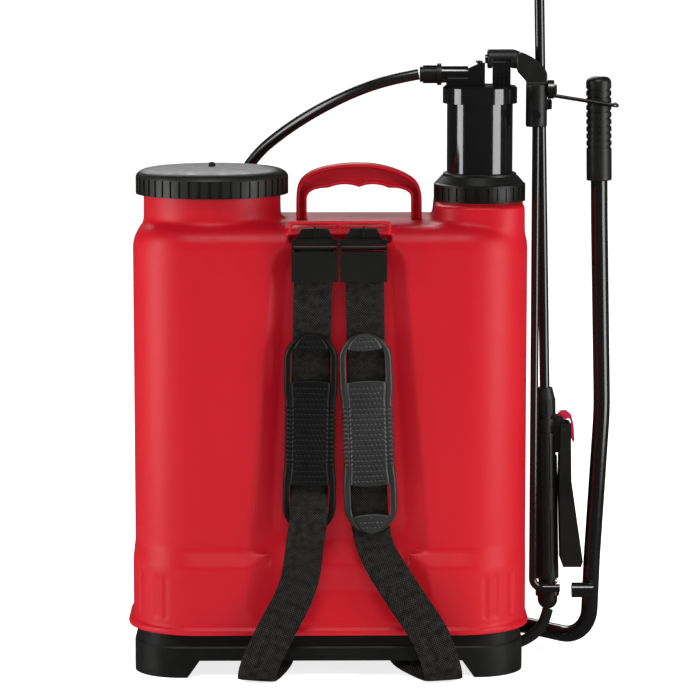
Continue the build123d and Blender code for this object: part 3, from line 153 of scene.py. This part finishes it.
RED = plastic("red_plastic", (0.40, 0.0025, 0.011), (0.45, 0.004, 0.011), (0.38, 0.48),
              grain=0.00010, wave=0.0007, specular=0.2, streak=(1, 1, 0.35))
BLACK = plastic("black_plastic", (0.0040, 0.0040, 0.0036), (0.0075, 0.0075, 0.0068), (0.34, 0.50))
CAP_BLACK = plastic("cap_plastic", (0.006, 0.006, 0.005), (0.010, 0.010, 0.008), (0.36, 0.5))
GLOSS = plastic("gloss_plastic", (0.003, 0.003, 0.003), (0.005, 0.005, 0.005), (0.08, 0.12),
                grain=0.00001, specular=0.8)
PAINT = plastic("black_enamel", (0.003, 0.003, 0.003), (0.006, 0.0055, 0.0055), (0.13, 0.20),
                grain=0.00003, grain_scale=300, specular=0.7)
CRIMSON = plastic("crimson_plastic", (0.36, 0.002, 0.035), (0.44, 0.003, 0.045), (0.34, 0.46))
RUBBER = plastic("hose_rubber", (0.004, 0.004, 0.004), (0.008, 0.008, 0.0075), (0.20, 0.28),
                 grain=0.00004, specular=0.8)
ZINC = metal("zinc_plate", (0.62, 0.62, 0.60), (0.22, 0.40))
STEEL = metal("steel_wire", (0.36, 0.34, 0.32), (0.16, 0.30))
WIRE = metal("dark_wire", (0.12, 0.115, 0.11), (0.2, 0.34))
BY_SLOT = {"tank_red": RED, "black_plastic": BLACK, "crimson_plastic": CRIMSON,
           "black_paint": PAINT, "zinc_steel": ZINC, "black_rubber": RUBBER,
           "black_webbing": BLACK, "pad_black": BLACK, "pad_grey": BLACK,
           "stainless_steel": STEEL}
BY_NODE = {"carry_handle": RED, "air_chamber": GLOSS, "air_chamber_cap": GLOSS,
           "filler_cap": CAP_BLACK, "latch_hook": WIRE, "rod_set_screw": PAINT,
           "gooseneck_pin": PAINT, "pump_cap_screw": PAINT}

EDGE_W, EDGE_STEPS, EDGE_ANGLE = 0.5, 2, 32
for row in frame["record"]["subparts"]:
    name = row["node"]
    shown = frame["nodes"][name]
    shown.data.materials.clear()
    shown.data.materials.append(BY_NODE.get(name, BY_SLOT[row["material_slot"]]))
    for face in shown.data.polygons:
        face.use_smooth = True
    soften = shown.modifiers.new("soften", "BEVEL")
    soften.width, soften.segments = EDGE_W * MM, EDGE_STEPS
    soften.limit_method, soften.angle_limit = "ANGLE", math.radians(EDGE_ANGLE)
    soften.harden_normals = True

# ---------------------------------------------------------------- hose
HOSE_R = 5.5
HOSE_UPPER = [(86.8, 0, 583), (62, 1.5, 578.5), (30, 9, 568), (-1, 24, 552.5), (-27, 41, 536.5),
              (-50, 58, 519.5), (-70, 75, 502), (-87, 90, 479), (-97, 101, 448), (-101, 107, 410),
              (-100, 108, 366), (-98.5, 107.5, 341)]
HOSE_LOWER = [(-98.5, 107.5, 341), (-97, 107, 316), (-91, 106, 262), (-83, 107, 205),
              (-76, 108.5, 150), (-70, 110, 106), (-66, 109, 72), (-63, 104, 43), (-59, 87, 20),
              (-51, 64, 9.5), (-33, 46, 6.8), (-2, 36, 6.5), (40, 27, 6.4), (88, 19, 6.6),
              (132, 13.5, 6.4), (166, 11.5, 7), (188, 12, 10), (205, 12, 19), (215.5, 12, 32),
              (218.4, 12, 45.4)]
UPPER_LENGTH, LOWER_LENGTH = 0.372, 0.653       # metres


def hose(name, points, length, stands_for):
    """A smooth hose along its route's points; the length given is not used."""
    line = bpy.data.curves.new(name, "CURVE")
    line.dimensions = "3D"
    spline = line.splines.new("NURBS")
    spline.points.add(len(points) - 1)
    for at, point in zip(spline.points, points):
        at.co = (*(c * MM for c in point), 1)
    spline.order_u = 3
    spline.use_endpoint_u = True
    spline.resolution_u = 16
    line.bevel_depth, line.bevel_resolution = HOSE_R * MM, 8
    line.use_fill_caps = True
    made = bpy.data.objects.new(name, line)
    scene.collection.objects.link(made)
    made.data.materials.append(RUBBER)
    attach(made, BODY)
    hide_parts(stands_for)
    [c * MM for c in points[0]]


hose("hose_to_pump", HOSE_UPPER, UPPER_LENGTH, "hose_upper")
hose("hose_to_lance", HOSE_LOWER, LOWER_LENGTH, "hose_lower")


# ---------------------------------------------------------------- mesh helpers
def new_piece(name, points, faces, material, body, stands_for=(), uv=None):
    """A smooth-shaded mesh piece that rides on a body; points are in millimetres."""
    mesh = bpy.data.meshes.new(name)
    mesh.from_pydata([tuple(c * MM for c in p) for p in points], [], faces)
    mesh.materials.append(material)
    mesh.polygons.foreach_set("use_smooth", [True] * len(mesh.polygons))
    if uv is not None:
        layer = mesh.uv_layers.new(name="along")
        for loop in mesh.loops:
            layer.data[loop.index].uv = uv[loop.vertex_index]
    mesh.validate()
    made = bpy.data.objects.new(name, mesh)
    scene.collection.objects.link(made)
    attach(made, body)
    if stands_for:
        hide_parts(*stands_for)
    return made


def smooth_line(points, spacing):
    """Points about a spacing apart along a Catmull-Rom curve through the given ones."""
    p = np.array(points, float)
    p = np.vstack([2 * p[0] - p[1], p, 2 * p[-1] - p[-2]])
    out = []
    for k in range(1, len(p) - 2):
        a, b, c, d = p[k - 1:k + 3]
        knots = [0.0]
        for u, v in ((a, b), (b, c), (c, d)):
            knots.append(knots[-1] + max(np.linalg.norm(v[:3] - u[:3]), 1e-6) ** 0.5)
        t0, t1, t2, t3 = knots
        count = max(2, int(round(np.linalg.norm(c[:3] - b[:3]) / spacing)))
        for t in np.linspace(t1, t2, count, endpoint=False):
            a1 = (t1 - t) / (t1 - t0) * a + (t - t0) / (t1 - t0) * b
            a2 = (t2 - t) / (t2 - t1) * b + (t - t1) / (t2 - t1) * c
            a3 = (t3 - t) / (t3 - t2) * c + (t - t2) / (t3 - t2) * d
            b1 = (t2 - t) / (t2 - t0) * a1 + (t - t0) / (t2 - t0) * a2
            b2 = (t3 - t) / (t3 - t1) * a2 + (t - t1) / (t3 - t1) * a3
            out.append((t2 - t) / (t2 - t1) * b1 + (t - t1) / (t2 - t1) * b2)
    out.append(p[-2])
    return np.array(out)


def tube_faces(rows, ring):
    """Quads that join rows of rings of points, with end caps."""
    faces = [(r * ring + k, r * ring + (k + 1) % ring, (r + 1) * ring + (k + 1) % ring,
              (r + 1) * ring + k) for r in range(rows - 1) for k in range(ring)]
    faces.append(tuple(range(ring))[::-1])
    faces.append(tuple((rows - 1) * ring + k for k in range(ring)))
    return faces


def step(x, low, high):
    """A smooth step from 0 at low to 1 at high."""
    t = np.clip((x - low) / (high - low), 0, 1)
    return t * t * (3 - 2 * t)


# ---------------------------------------------------------------- webbing
def maths(tree, operation, first, second=None):
    """A maths node's result, as a socket."""
    inputs = {0: first}
    if second is not None:
        inputs[1] = second
    return node(tree, "ShaderNodeMath", inputs, operation=operation).outputs[0]


THREADS = (2.4, 2.6)              # pitch of the weave across and along the band


def webbing_material():
    """Black polypropylene webbing: a fine staggered weave, its high threads painted paler as a
    painted sheen.
    """
    made, tree, shader = new_material("woven_webbing")
    along = node(tree, "ShaderNodeUVMap", uv_map="along").outputs["UV"]
    parts = node(tree, "ShaderNodeSeparateXYZ", {"Vector": along})
    across, length = (maths(tree, "SINE", maths(tree, "MULTIPLY", parts.outputs[axis],
                                                2 * math.pi / (pitch * MM)))
                      for axis, pitch in zip("XY", THREADS))
    weave = spread(tree, maths(tree, "MULTIPLY", across, length), 0, 1, -1, 1)
    # the paler colour on the high threads is a painted sheen, made unevenly strong by a noise
    uneven_thread_sheen = noise(tree, along, 160, 4, 0.6)
    painted_thread_sheen = maths(tree, "MULTIPLY", maths(tree, "POWER", weave, 3.0),
                 spread(tree, uneven_thread_sheen, 0.2, 1.0, 0.35, 0.65))
    tree.links.new(tint(tree, painted_thread_sheen, (0.0022, 0.0020, 0.0016), (0.075, 0.071, 0.060)),
                   shader.inputs["Base Color"])
    tree.links.new(spread(tree, weave, 0.90, 0.60), shader.inputs["Roughness"])
    tree.links.new(bump(tree, weave, 0.9, 0.0005), shader.inputs["Normal"])
    shader.inputs["Specular IOR Level"].default_value = 0.1
    return made


WEBBING = webbing_material()
STRAP_W, STRAP_T = 37.0, 1.9
FLAT = ((1, 0, 0), (0, -1, 0))
LEFT_STRAP = [((-16, -92, 419), *FLAT), ((-19, -92, 300), *FLAT), ((-20.8, -92, 198), *FLAT),
              ((-21, -93.3, 188), (1, 0, 0), (0, -0.96, 0.27)),
              ((-21.2, -102.4, 170), (1, 0, 0), (0, -0.92, 0.4)),
              ((-21.6, -104.3, 160), *FLAT),
              ((-24.5, -106, 140), (1, 0, -0.08), (0, -1, 0)),
              ((-32, -108, 95), (0.97, 0, -0.25), (0, -1, 0)),
              ((-56, -112, 46), (0.9, 0, -0.42), (0, -1, 0)),
              ((-70, -117.6, 16), (0.98, 0, -0.2), (0, -1, -0.15)),
              ((-72, -115.2, 5.4), (1, 0, -0.1), (0, -0.7, -0.7)),
              ((-71, -106, 2.6), (1, 0, -0.05), (0, 0, -1)),
              ((-66, -96, 5), (1, 0, -0.1), (0, 0.35, -0.94)),
              ((-56, -78, 14), (1, 0, -0.1), (0, 0.45, -0.9)),
              ((-52, -66, 27), (1, 0, 0), (0, 0.9, -0.44)), ((-52, -64, 33), (1, 0, 0), (0, 1, 0))]
RIGHT_STRAP = [((32.5, -92, 419), *FLAT), ((34.3, -92, 300), *FLAT),
               ((39.2, -92, 147), (1, 0, 0.03), (0, -1, 0)),
               ((45, -96.5, 127), (0.98, 0, 0.2), (0, -1, 0)),
               ((64, -106, 95), (0.86, 0, 0.5), (0, -1, 0)),
               ((96, -112, 46), (0.88, 0, 0.48), (0, -1, 0)),
               ((107, -117.6, 17), (0.97, 0, 0.25), (0, -1, -0.15)),
               ((109, -115.2, 5.4), (1, 0, 0.1), (0, -0.7, -0.7)),
               ((107, -106, 2.6), (1, 0, 0.05), (0, 0, -1)),
               ((98, -96, 5), (1, 0, 0.1), (0, 0.35, -0.94)),
               ((78, -78, 14), (1, 0, 0.1), (0, 0.45, -0.9)),
               ((70, -66, 27), (1, 0, 0), (0, 0.9, -0.44)), ((70, -64, 33), (1, 0, 0), (0, 1, 0))]
ACROSS, STRAP_STEP, STRAP_CROWN, SELVAGE = 14, 2.5, 0.35, 0.55
TAIL_W, TAIL_T = 36.5, 1.6


def webbing(name, stations, stands_for=(), width=STRAP_W, thick=STRAP_T):
    """A woven band along its stations, slightly crowned, with rounded selvages."""
    line = smooth_line([[*c, *a, *n] for c, a, n in stations], STRAP_STEP)
    share = np.linspace(-1, 1, ACROSS + 1)
    half = thick / 2 * (1 - SELVAGE * np.abs(share) ** 9)
    profile = [(s * width / 2, h + STRAP_CROWN * (1 - s * s)) for s, h in zip(share, half)]
    profile += [(s * width / 2, -h + STRAP_CROWN * (1 - s * s))
                for s, h in zip(share[::-1], half[::-1])]
    points, uv, run = [], [], 0.0
    for k, row in enumerate(line):
        centre, across, normal = row[:3], row[3:6], row[6:9]
        if k:
            run += np.linalg.norm(centre - line[k - 1][:3])
        across = across / np.linalg.norm(across)
        normal = normal - across * (normal @ across)
        normal = normal / np.linalg.norm(normal)
        for u, v in profile:
            points.append(centre + across * u + normal * v)
            uv.append(((u + width / 2) * MM, run * MM))
    new_piece(name, points, tube_faces(len(line), len(profile)), WEBBING, BODY, stands_for,
              uv)


webbing("webbing_left", LEFT_STRAP, ("strap_webbing_left",))
webbing("webbing_right", RIGHT_STRAP, ("strap_webbing_right",))
# the cut end of the left strap, doubled back under its buckle
webbing("webbing_left_tail", [((-15.8, -94.2, 421), *FLAT), ((-16.0, -94.3, 400), *FLAT),
                              ((-16.7, -94.5, 381), *FLAT)], width=TAIL_W, thick=TAIL_T)


# ---------------------------------------------------------------- shoulder pads
PAD_L, PAD_HALF, PAD_BACK, PAD_MID_Z = 195.0, 25.8, -94.2, 242.5
WINDOW_HALF, WINDOW_SHARE, END_R = 19.4, 0.74, 26.0
WINDOW_ENDS = ((16, 2.4), (47.3, -1.8), (144.5, 1.6), (177, -2.4))       # place and bow of each
WINDOW_SCALE_L = 191.0            # the pad length for which those places are given
WAIST, WAIST_STARTS, WAIST_ENDS = 1.5, (50, 66), (128, 142)
TEETH_START, TEETH_END, TOOTH_PITCH, TOOTH_OUT, TOOTH_UP = 67.0, 125.0, 4.4, 0.65, 0.35
PAD_BASE, BAND_UP, PANEL_UP, PANEL_CROWN, EDGE_R = 1.2, 5.7, 6.2, 0.9, 2.6
GROOVE_DEPTH, GROOVE_W, GROOVE_IN = 1.3, 0.9, 0.4
DIMPLE_PITCH, DIMPLE_ROW, DIMPLE_R, DIMPLE_DEPTH = 4.1, 5.05, 0.95, 1.35
DIMPLE_FROM_SIDE, DIMPLE_FROM_WINDOW, DIMPLE_FROM_END = 2.6, 1.6, 5.5
SIDE_COLUMNS, INNER_COLUMNS, PAD_ROWS = 11, 72, (34, 52, 170, 52, 34)
PAD_BLACK = plastic("pad_foam_black", (0.0022, 0.0024, 0.0022), (0.0045, 0.0048, 0.0045),
                    (0.40, 0.55), grain=0.00016, grain_scale=1300, specular=0.22)
# The right pad is the same black foam as the left; its lighter grey colour is a painted sheen.
PAD_PAINTED_SHEEN = plastic("pad_foam_painted_sheen", (0.009, 0.0095, 0.009), (0.030, 0.031, 0.030), (0.32, 0.48),
                   grain=0.00016, grain_scale=1300, specular=0.6)


def pad_grid():
    """The pad's places along for each row and column, its columns' shares, its window rows."""
    u = np.concatenate([np.linspace(-2, -1, SIDE_COLUMNS, endpoint=False),
                        np.linspace(-1, 1, INNER_COLUMNS, endpoint=False),
                        np.linspace(1, 2, SIDE_COLUMNS + 1)])
    swell = 1 - np.clip(u, -1, 1) ** 2
    keys = [np.zeros(len(u))]
    keys += [(place + bow * swell) * PAD_L / WINDOW_SCALE_L for place, bow in WINDOW_ENDS]
    keys.append(np.full(len(u), PAD_L))
    rows, window = [], []
    for k, count in enumerate(PAD_ROWS):
        for t in np.linspace(0, 1, count, endpoint=False):
            if k == 0:
                t = 1 - math.cos(t * math.pi / 2)
            if k == 4:
                t = math.sin(t * math.pi / 2)
            rows.append(keys[k] * (1 - t) + keys[k + 1] * t)
            window.append(k in (1, 3))
    rows.append(keys[5])
    return np.clip(np.array(rows), 0.03, PAD_L - 0.03), u, window


def dimples(s, t, inside, band):
    """How deep each point lies in the staggered rows of dimples, from 0 to 1."""
    row = np.round((s - PAD_L / 2) / DIMPLE_ROW)
    shift = np.where(row % 2 == 0, 0.0, 0.5)
    column = np.round(t / DIMPLE_PITCH - shift) + shift
    away = np.hypot(t - column * DIMPLE_PITCH, (s - PAD_L / 2) - row * DIMPLE_ROW)
    place = PAD_L / 2 + row * DIMPLE_ROW
    swell = 1 - np.clip(column * DIMPLE_PITCH / WINDOW_HALF, -1, 1) ** 2
    ends = [at + bow * swell for at, bow in WINDOW_ENDS]
    kept = (np.abs(column) * DIMPLE_PITCH < inside - DIMPLE_FROM_SIDE) & ~band
    for low, high in (ends[:2], ends[2:]):
        kept &= (place < low - DIMPLE_FROM_WINDOW) | (place > high + DIMPLE_FROM_WINDOW)
    kept &= (place > DIMPLE_FROM_END) & (place < PAD_L - DIMPLE_FROM_END)
    return kept * (1 - step(away, 0.35 * DIMPLE_R, 1.15 * DIMPLE_R))


def pad_surface():
    """The pad's places along and across, its height, and its window rows."""
    s, u, window = pad_grid()
    short = np.clip(END_R - np.minimum(s, PAD_L - s), 0, None) / END_R
    outline = PAD_HALF * np.sqrt(np.clip(1 - short ** 2, 0, 1))
    outline -= WAIST * step(s, *WAIST_STARTS) * (1 - step(s, *WAIST_ENDS))
    toothed = (step(s, TEETH_START - 1, TEETH_START + 1)
               * (1 - step(s, TEETH_END - 1, TEETH_END + 1)))
    wave = np.cos(2 * np.pi * (s - TEETH_START) / TOOTH_PITCH)
    outline += TOOTH_OUT * toothed * wave
    inside = np.minimum(WINDOW_HALF, outline * WINDOW_SHARE)
    t = np.where(np.abs(u) <= 1, u * inside,
                 np.sign(u) * (inside + (np.abs(u) - 1) * (outline - inside)))
    edge = outline - np.abs(t)
    band = np.abs(u)[None, :] > 1
    rounding = np.sqrt(np.clip(1 - (1 - np.clip(edge / EDGE_R, 0, 1)) ** 2, 0, 1))
    panel = PANEL_UP + PANEL_CROWN * (1 - (t / WINDOW_HALF) ** 2)
    groove = np.exp(-((np.abs(t) - inside + GROOVE_IN) / GROOVE_W) ** 2)
    height = np.where(band, BAND_UP, panel) - GROOVE_DEPTH * groove
    height = height + TOOTH_UP * toothed * wave * band
    height = height - DIMPLE_DEPTH * dimples(s, t, inside, band)
    return s, t, PAD_BASE + (height - PAD_BASE) * rounding, window


def pad_faces(window, columns):
    """The front, back and edge faces of the pad's grid, with its windows left open."""
    keep = np.ones((len(window), columns), bool)
    for r, hole in enumerate(window):
        if hole:
            keep[r, SIDE_COLUMNS:SIDE_COLUMNS + INNER_COLUMNS] = False
    kept = np.pad(keep, 1)
    wide = columns + 1
    count = (len(window) + 1) * wide
    faces = []
    for r, c in np.argwhere(keep).tolist():
        a, b = r * wide + c, r * wide + c + 1
        d, e = a + wide, b + wide
        faces += [(a, b, e, d), (count + d, count + e, count + b, count + a)]
        for joined, p, q in ((kept[r, c + 1], b, a), (kept[r + 2, c + 1], d, e),
                             (kept[r + 1, c], a, d), (kept[r + 1, c + 2], e, b)):
            if not joined:
                faces.append((p, q, count + q, count + p))
    return faces


def clean(mesh):
    """Drops the points that no face uses, and turns all faces outwards."""
    work = bmesh.new()
    work.from_mesh(mesh)
    loose = [point for point in work.verts if not point.link_faces]
    bmesh.ops.delete(work, geom=loose, context="VERTS")
    bmesh.ops.recalc_face_normals(work, faces=work.faces)
    work.to_mesh(mesh)
    work.free()
    mesh.polygons.foreach_set("use_smooth", [True] * len(mesh.polygons))


def shoulder_pad(name, stands_for, x, lean, material):
    """A dimpled foam pad with serrated edges and two windows for the webbing."""
    s, t, height, window = pad_surface()
    turn = math.radians(lean)
    across = np.array([math.cos(turn), 0, math.sin(turn)])
    up = np.array([-math.sin(turn), 0, math.cos(turn)])
    centre = np.array([x, PAD_BACK, PAD_MID_Z])
    flat = centre + t[..., None] * across + (s[..., None] - PAD_L / 2) * up
    front = flat - height[..., None] * np.array([0, 1, 0])
    points = np.vstack([front.reshape(-1, 3), flat.reshape(-1, 3)])
    made = new_piece(name, points, pad_faces(window, t.shape[1] - 1), material, BODY,
                     (stands_for,))
    clean(made.data)


shoulder_pad("pad_left", "shoulder_pad_left", -20.0, -0.8, PAD_BLACK)
# the right pad takes the lighter copy, whose grey is a painted sheen
shoulder_pad("pad_right", "shoulder_pad_right", 36.0, 2.2, PAD_PAINTED_SHEEN)

# ---------------------------------------------------------------- carry handle
OUTER = [(-33.3, 441.5), (-33.2, 462), (-32.5, 470), (-30.8, 476), (-27.3, 481.5), (-20, 487.0),
         (-10.2, 491.2), (2, 493.9), (15, 495.5), (28.5, 495.9), (42, 495.3), (55, 492.8),
         (66, 489.3), (76, 484.6), (83, 479.8), (87.3, 474), (89.4, 467), (89.9, 460),
         (90.0, 441.5)]
INNER = [(-22.9, 441.5), (-22.9, 458), (-22.6, 463), (-21, 466.8), (-17, 469.8), (-10.5, 471.7),
         (-4, 472.3), (-1.2, 472.6), (1.5, 473.6), (8, 475.2), (15.3, 475.7), (22.5, 474.9),
         (26.8, 473.5), (28.4, 473.1), (30, 473.5), (34.5, 475), (41, 475.7), (49, 475),
         (54.8, 473.3), (57.5, 472.2), (60.5, 472.2), (67, 471.8), (74, 469.6), (78.2, 466.4),
         (79.6, 462), (79.8, 458), (79.8, 441.5)]
HANDLE_HALF_T, HANDLE_WEB, HANDLE_RIM, HANDLE_CORNER = 11.0, 3.2, 3.4, 1.1
HANDLE_SLOPE, HANDLE_LIP, HANDLE_ROWS, OUTLINE_STEP = 0.6, 0.4, 220, 0.8


def evenly(points, count):
    """Points evenly spaced by length along a smooth curve."""
    fine = smooth_line(points, OUTLINE_STEP)
    run = np.concatenate([[0], np.cumsum(np.linalg.norm(np.diff(fine, axis=0), axis=1))])
    at = np.linspace(0, run[-1], count)
    return np.column_stack([np.interp(at, run, fine[:, k]) for k in range(fine.shape[1])])


def rounded_profile(corners, radius, steps=3):
    """A closed outline with its corners rounded, as a list of points."""
    out = []
    for k, at in enumerate(corners):
        before, after = np.array(corners[k - 1]), np.array(corners[(k + 1) % len(corners)])
        at = np.array(at, float)
        a, b = before - at, after - at
        reach = min(radius, np.linalg.norm(a) * 0.45, np.linalg.norm(b) * 0.45)
        start, end = at + a / np.linalg.norm(a) * reach, at + b / np.linalg.norm(b) * reach
        for t in np.linspace(0, 1, steps + 1):
            out.append((1 - t) ** 2 * start + 2 * t * (1 - t) * at + t ** 2 * end)
    return out


def handle_section(deep):
    """The handle's outline at a place this deep: two rims on each face, a sunk web between."""
    h, w, r = HANDLE_HALF_T, HANDLE_WEB, HANDLE_RIM
    near, far, lip = r + HANDLE_SLOPE, deep - r - HANDLE_SLOPE, deep - r + HANDLE_LIP
    return rounded_profile([(0, h), (0, -h), (r, -h), (near, -w), (far, -w), (lip, -h),
                            (deep, -h), (deep, h), (lip, h), (far, w), (near, w), (r, h)],
                           HANDLE_CORNER)


handle_points = []
for outer, inner in zip(evenly(OUTER, HANDLE_ROWS), evenly(INNER, HANDLE_ROWS)):
    depth = np.linalg.norm(inner - outer)
    for inwards, y in handle_section(depth):
        x, z = outer + (inner - outer) * (inwards / depth)
        handle_points.append((x, y, z))
new_piece("handle", handle_points, tube_faces(HANDLE_ROWS, len(handle_points) // HANDLE_ROWS),
          RED, BODY, ("carry_handle",))


# ---------------------------------------------------------------- tank and gooseneck
def soft_copy(name, source, voxel, passes, material, body):
    """A moulded version of a CAD node: remeshed, with its edges softened."""
    made = bpy.data.objects.new(name, frame["nodes"][source].data.copy())
    scene.collection.objects.link(made)
    remesh = made.modifiers.new("voxels", "REMESH")
    remesh.mode, remesh.voxel_size = "VOXEL", voxel * MM
    bpy.context.view_layer.update()
    graph = bpy.context.evaluated_depsgraph_get()
    mesh = bpy.data.meshes.new_from_object(made.evaluated_get(graph))
    made.modifiers.clear()
    made.data = mesh
    mesh.name = name
    co = np.zeros(len(mesh.vertices) * 3, np.float32)
    mesh.vertices.foreach_get("co", co)
    co = co.reshape(-1, 3).astype(float)
    pairs = np.zeros(len(mesh.edges) * 2, np.int32)
    mesh.edges.foreach_get("vertices", pairs)
    pairs = pairs.reshape(-1, 2)
    links = np.bincount(pairs.ravel(), minlength=len(co)).clip(1)[:, None]
    for share in passes(co):
        total = np.zeros_like(co)
        for k in range(3):
            total[:, k] = (np.bincount(pairs[:, 0], co[pairs[:, 1], k], len(co))
                           + np.bincount(pairs[:, 1], co[pairs[:, 0], k], len(co)))
        co += share * (total / links - co)
    mesh.vertices.foreach_set("co", co.astype(np.float32).ravel())
    mesh.materials.clear()
    mesh.materials.append(material)
    mesh.polygons.foreach_set("use_smooth", [True] * len(mesh.polygons))
    mesh.update()
    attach(made, body)
    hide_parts(source)


NECK_ROOT_FILLER, NECK_ROOT_PUMP, SHOULDER_Z, PLINTH_Z = 463, 452, (414, 426), (104, 112)
RAIL_X, RAIL_HALF, RAIL_BACK = 9, 54, -60
TANK_VOXEL, OVERALL_PASSES, ROOT_PASSES = 1.8, 3, 26


def tank_passes(co):
    """Smoothing shares: a little all over, and much more where the necks meet the shoulders."""
    x, y, z = (co[:, k] / MM for k in range(3))
    top = np.where(x < 0, NECK_ROOT_FILLER, NECK_ROOT_PUMP)
    shoulder = step(z, *SHOULDER_Z) * (1 - step(z, top, top + 5))
    rail = (np.abs(x - RAIL_X) < RAIL_HALF) & (y < RAIL_BACK)
    root = (shoulder * ~rail)[:, None]
    overall = 0.5 * step(z, *PLINTH_Z)[:, None] + 0.18
    for _ in range(OVERALL_PASSES):
        yield overall
    for _ in range(ROOT_PASSES):
        yield 0.5 * root


ELBOW_X = (178, 186, 192, 198, 204, 208, 211, 213)
ELBOW_TOP = (608, 605, 602.8, 599.6, 595.4, 591.4, 587, 582)
ARM_X, ARM_Z = 180, 560           # the bent arm lies beyond these
ELBOW_VOXEL, ELBOW_PASSES = 0.8, 5


def elbow_passes(co):
    """Presses the bent arm's outer side down to a slim curve, then smooths evenly."""
    top = np.interp(co[:, 0] / MM, ELBOW_X, ELBOW_TOP) * MM
    arm = (co[:, 0] > ARM_X * MM) & (co[:, 2] > ARM_Z * MM)
    co[arm, 2] = np.minimum(co[arm, 2], top[arm])
    for _ in range(ELBOW_PASSES):
        yield 0.5


soft_copy("tank_moulding", "tank", TANK_VOXEL, tank_passes, RED, BODY)
soft_copy("gooseneck_moulding", "gooseneck", ELBOW_VOXEL, elbow_passes, BLACK,
          "gooseneck")

# ---------------------------------------------------------------- vent on the filler cap
VENT = ((3.4, 0), (3.2, 2.2), (2.2, 3.4), (1.0, 3.9), (0.05, 4.0))       # radius and rise
VENT_RING, VENT_SINK = 24, 0.6
valve_low, valve_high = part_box("cap_vent_valve")
vent_x, vent_y, _ = (valve_low + valve_high) / 2 / MM
vent_points = []
for radius, rise in VENT:
    for angle in np.linspace(0, 2 * math.pi, VENT_RING, endpoint=False):
        vent_points.append((vent_x + radius * math.cos(angle), vent_y + radius * math.sin(angle),
                            valve_high.z / MM - VENT_SINK + rise))
new_piece("cap_vent_knob", vent_points, tube_faces(len(VENT), VENT_RING), BLACK, "filler_cap")


# ---------------------------------------------------------------- floor and light
def area_light(name, at, width, height, power):
    """A soft rectangular light aimed at the middle of the sprayer, unseen by the camera."""
    lamp = bpy.data.lights.new(name, "AREA")
    lamp.shape, lamp.size, lamp.size_y = "RECTANGLE", width, height
    lamp.energy = power
    made = bpy.data.objects.new(name, lamp)
    made.location = at
    made.rotation_euler = (AIM - Vector(at)).to_track_quat("-Z", "Y").to_euler()
    made.visible_camera = False
    scene.collection.objects.link(made)


def around(azimuth, distance, height):
    """A place at an angle from the camera's side, turning to +X, in degrees."""
    return (distance * math.sin(math.radians(azimuth)),
            -distance * math.cos(math.radians(azimuth)), height)


AIM = Vector((0, 0, 0.45))
area_light("left_strip", around(-74, 1.3, 0.53), 0.60, 1.1, 13)
area_light("right_strip", around(62, 1.3, 0.53), 0.62, 1.1, 13)
area_light("back_fill", (-0.4, 2.2, 1.9), 1.4, 1.0, 26)
key = bpy.data.lights.new("key", "SUN")
key.energy, key.angle = 1.5, math.radians(24)
key_light = bpy.data.objects.new("key", key)
key_light.rotation_euler = (math.radians(35), 0, math.radians(-6))
scene.collection.objects.link(key_light)

world = bpy.data.worlds.new("studio")
scene.world = world
world.use_nodes = True
world_tree = world.node_tree
backdrop = world_tree.nodes["Background"]
backdrop.inputs["Color"].default_value = (1, 1, 1, 1)
seen = node(world_tree, "ShaderNodeLightPath").outputs["Is Camera Ray"]
UNSEEN, SEEN = 0.05, 1.02         # how bright the world is for other rays and to the camera
world_tree.links.new(spread(world_tree, seen, UNSEEN, SEEN), backdrop.inputs["Strength"])

REACH = 40
floor_mesh = bpy.data.meshes.new("floor")
floor_mesh.from_pydata([(-REACH, -REACH, 0), (REACH, -REACH, 0), (REACH, REACH, 0),
                        (-REACH, REACH, 0)], [], [(0, 1, 2, 3)])
floor = bpy.data.objects.new("floor", floor_mesh)
scene.collection.objects.link(floor)
floor_material, floor_tree, floor_shader = new_material("pale_floor")
floor_where = node(floor_tree, "ShaderNodeTexCoord").outputs["Object"]
floor_tree.links.new(tint(floor_tree, noise(floor_tree, floor_where, 3), (0.88, 0.88, 0.88),
                          (0.9, 0.9, 0.9)), floor_shader.inputs["Base Color"])
floor_shader.inputs["Roughness"].default_value = 0.9
floor_shader.inputs["Specular IOR Level"].default_value = 0.0
floor_shader.inputs["Emission Color"].default_value = (1, 1, 1, 1)
floor_shader.inputs["Emission Strength"].default_value = 0.8
floor_mesh.materials.append(floor_material)
floor.visible_glossy = False
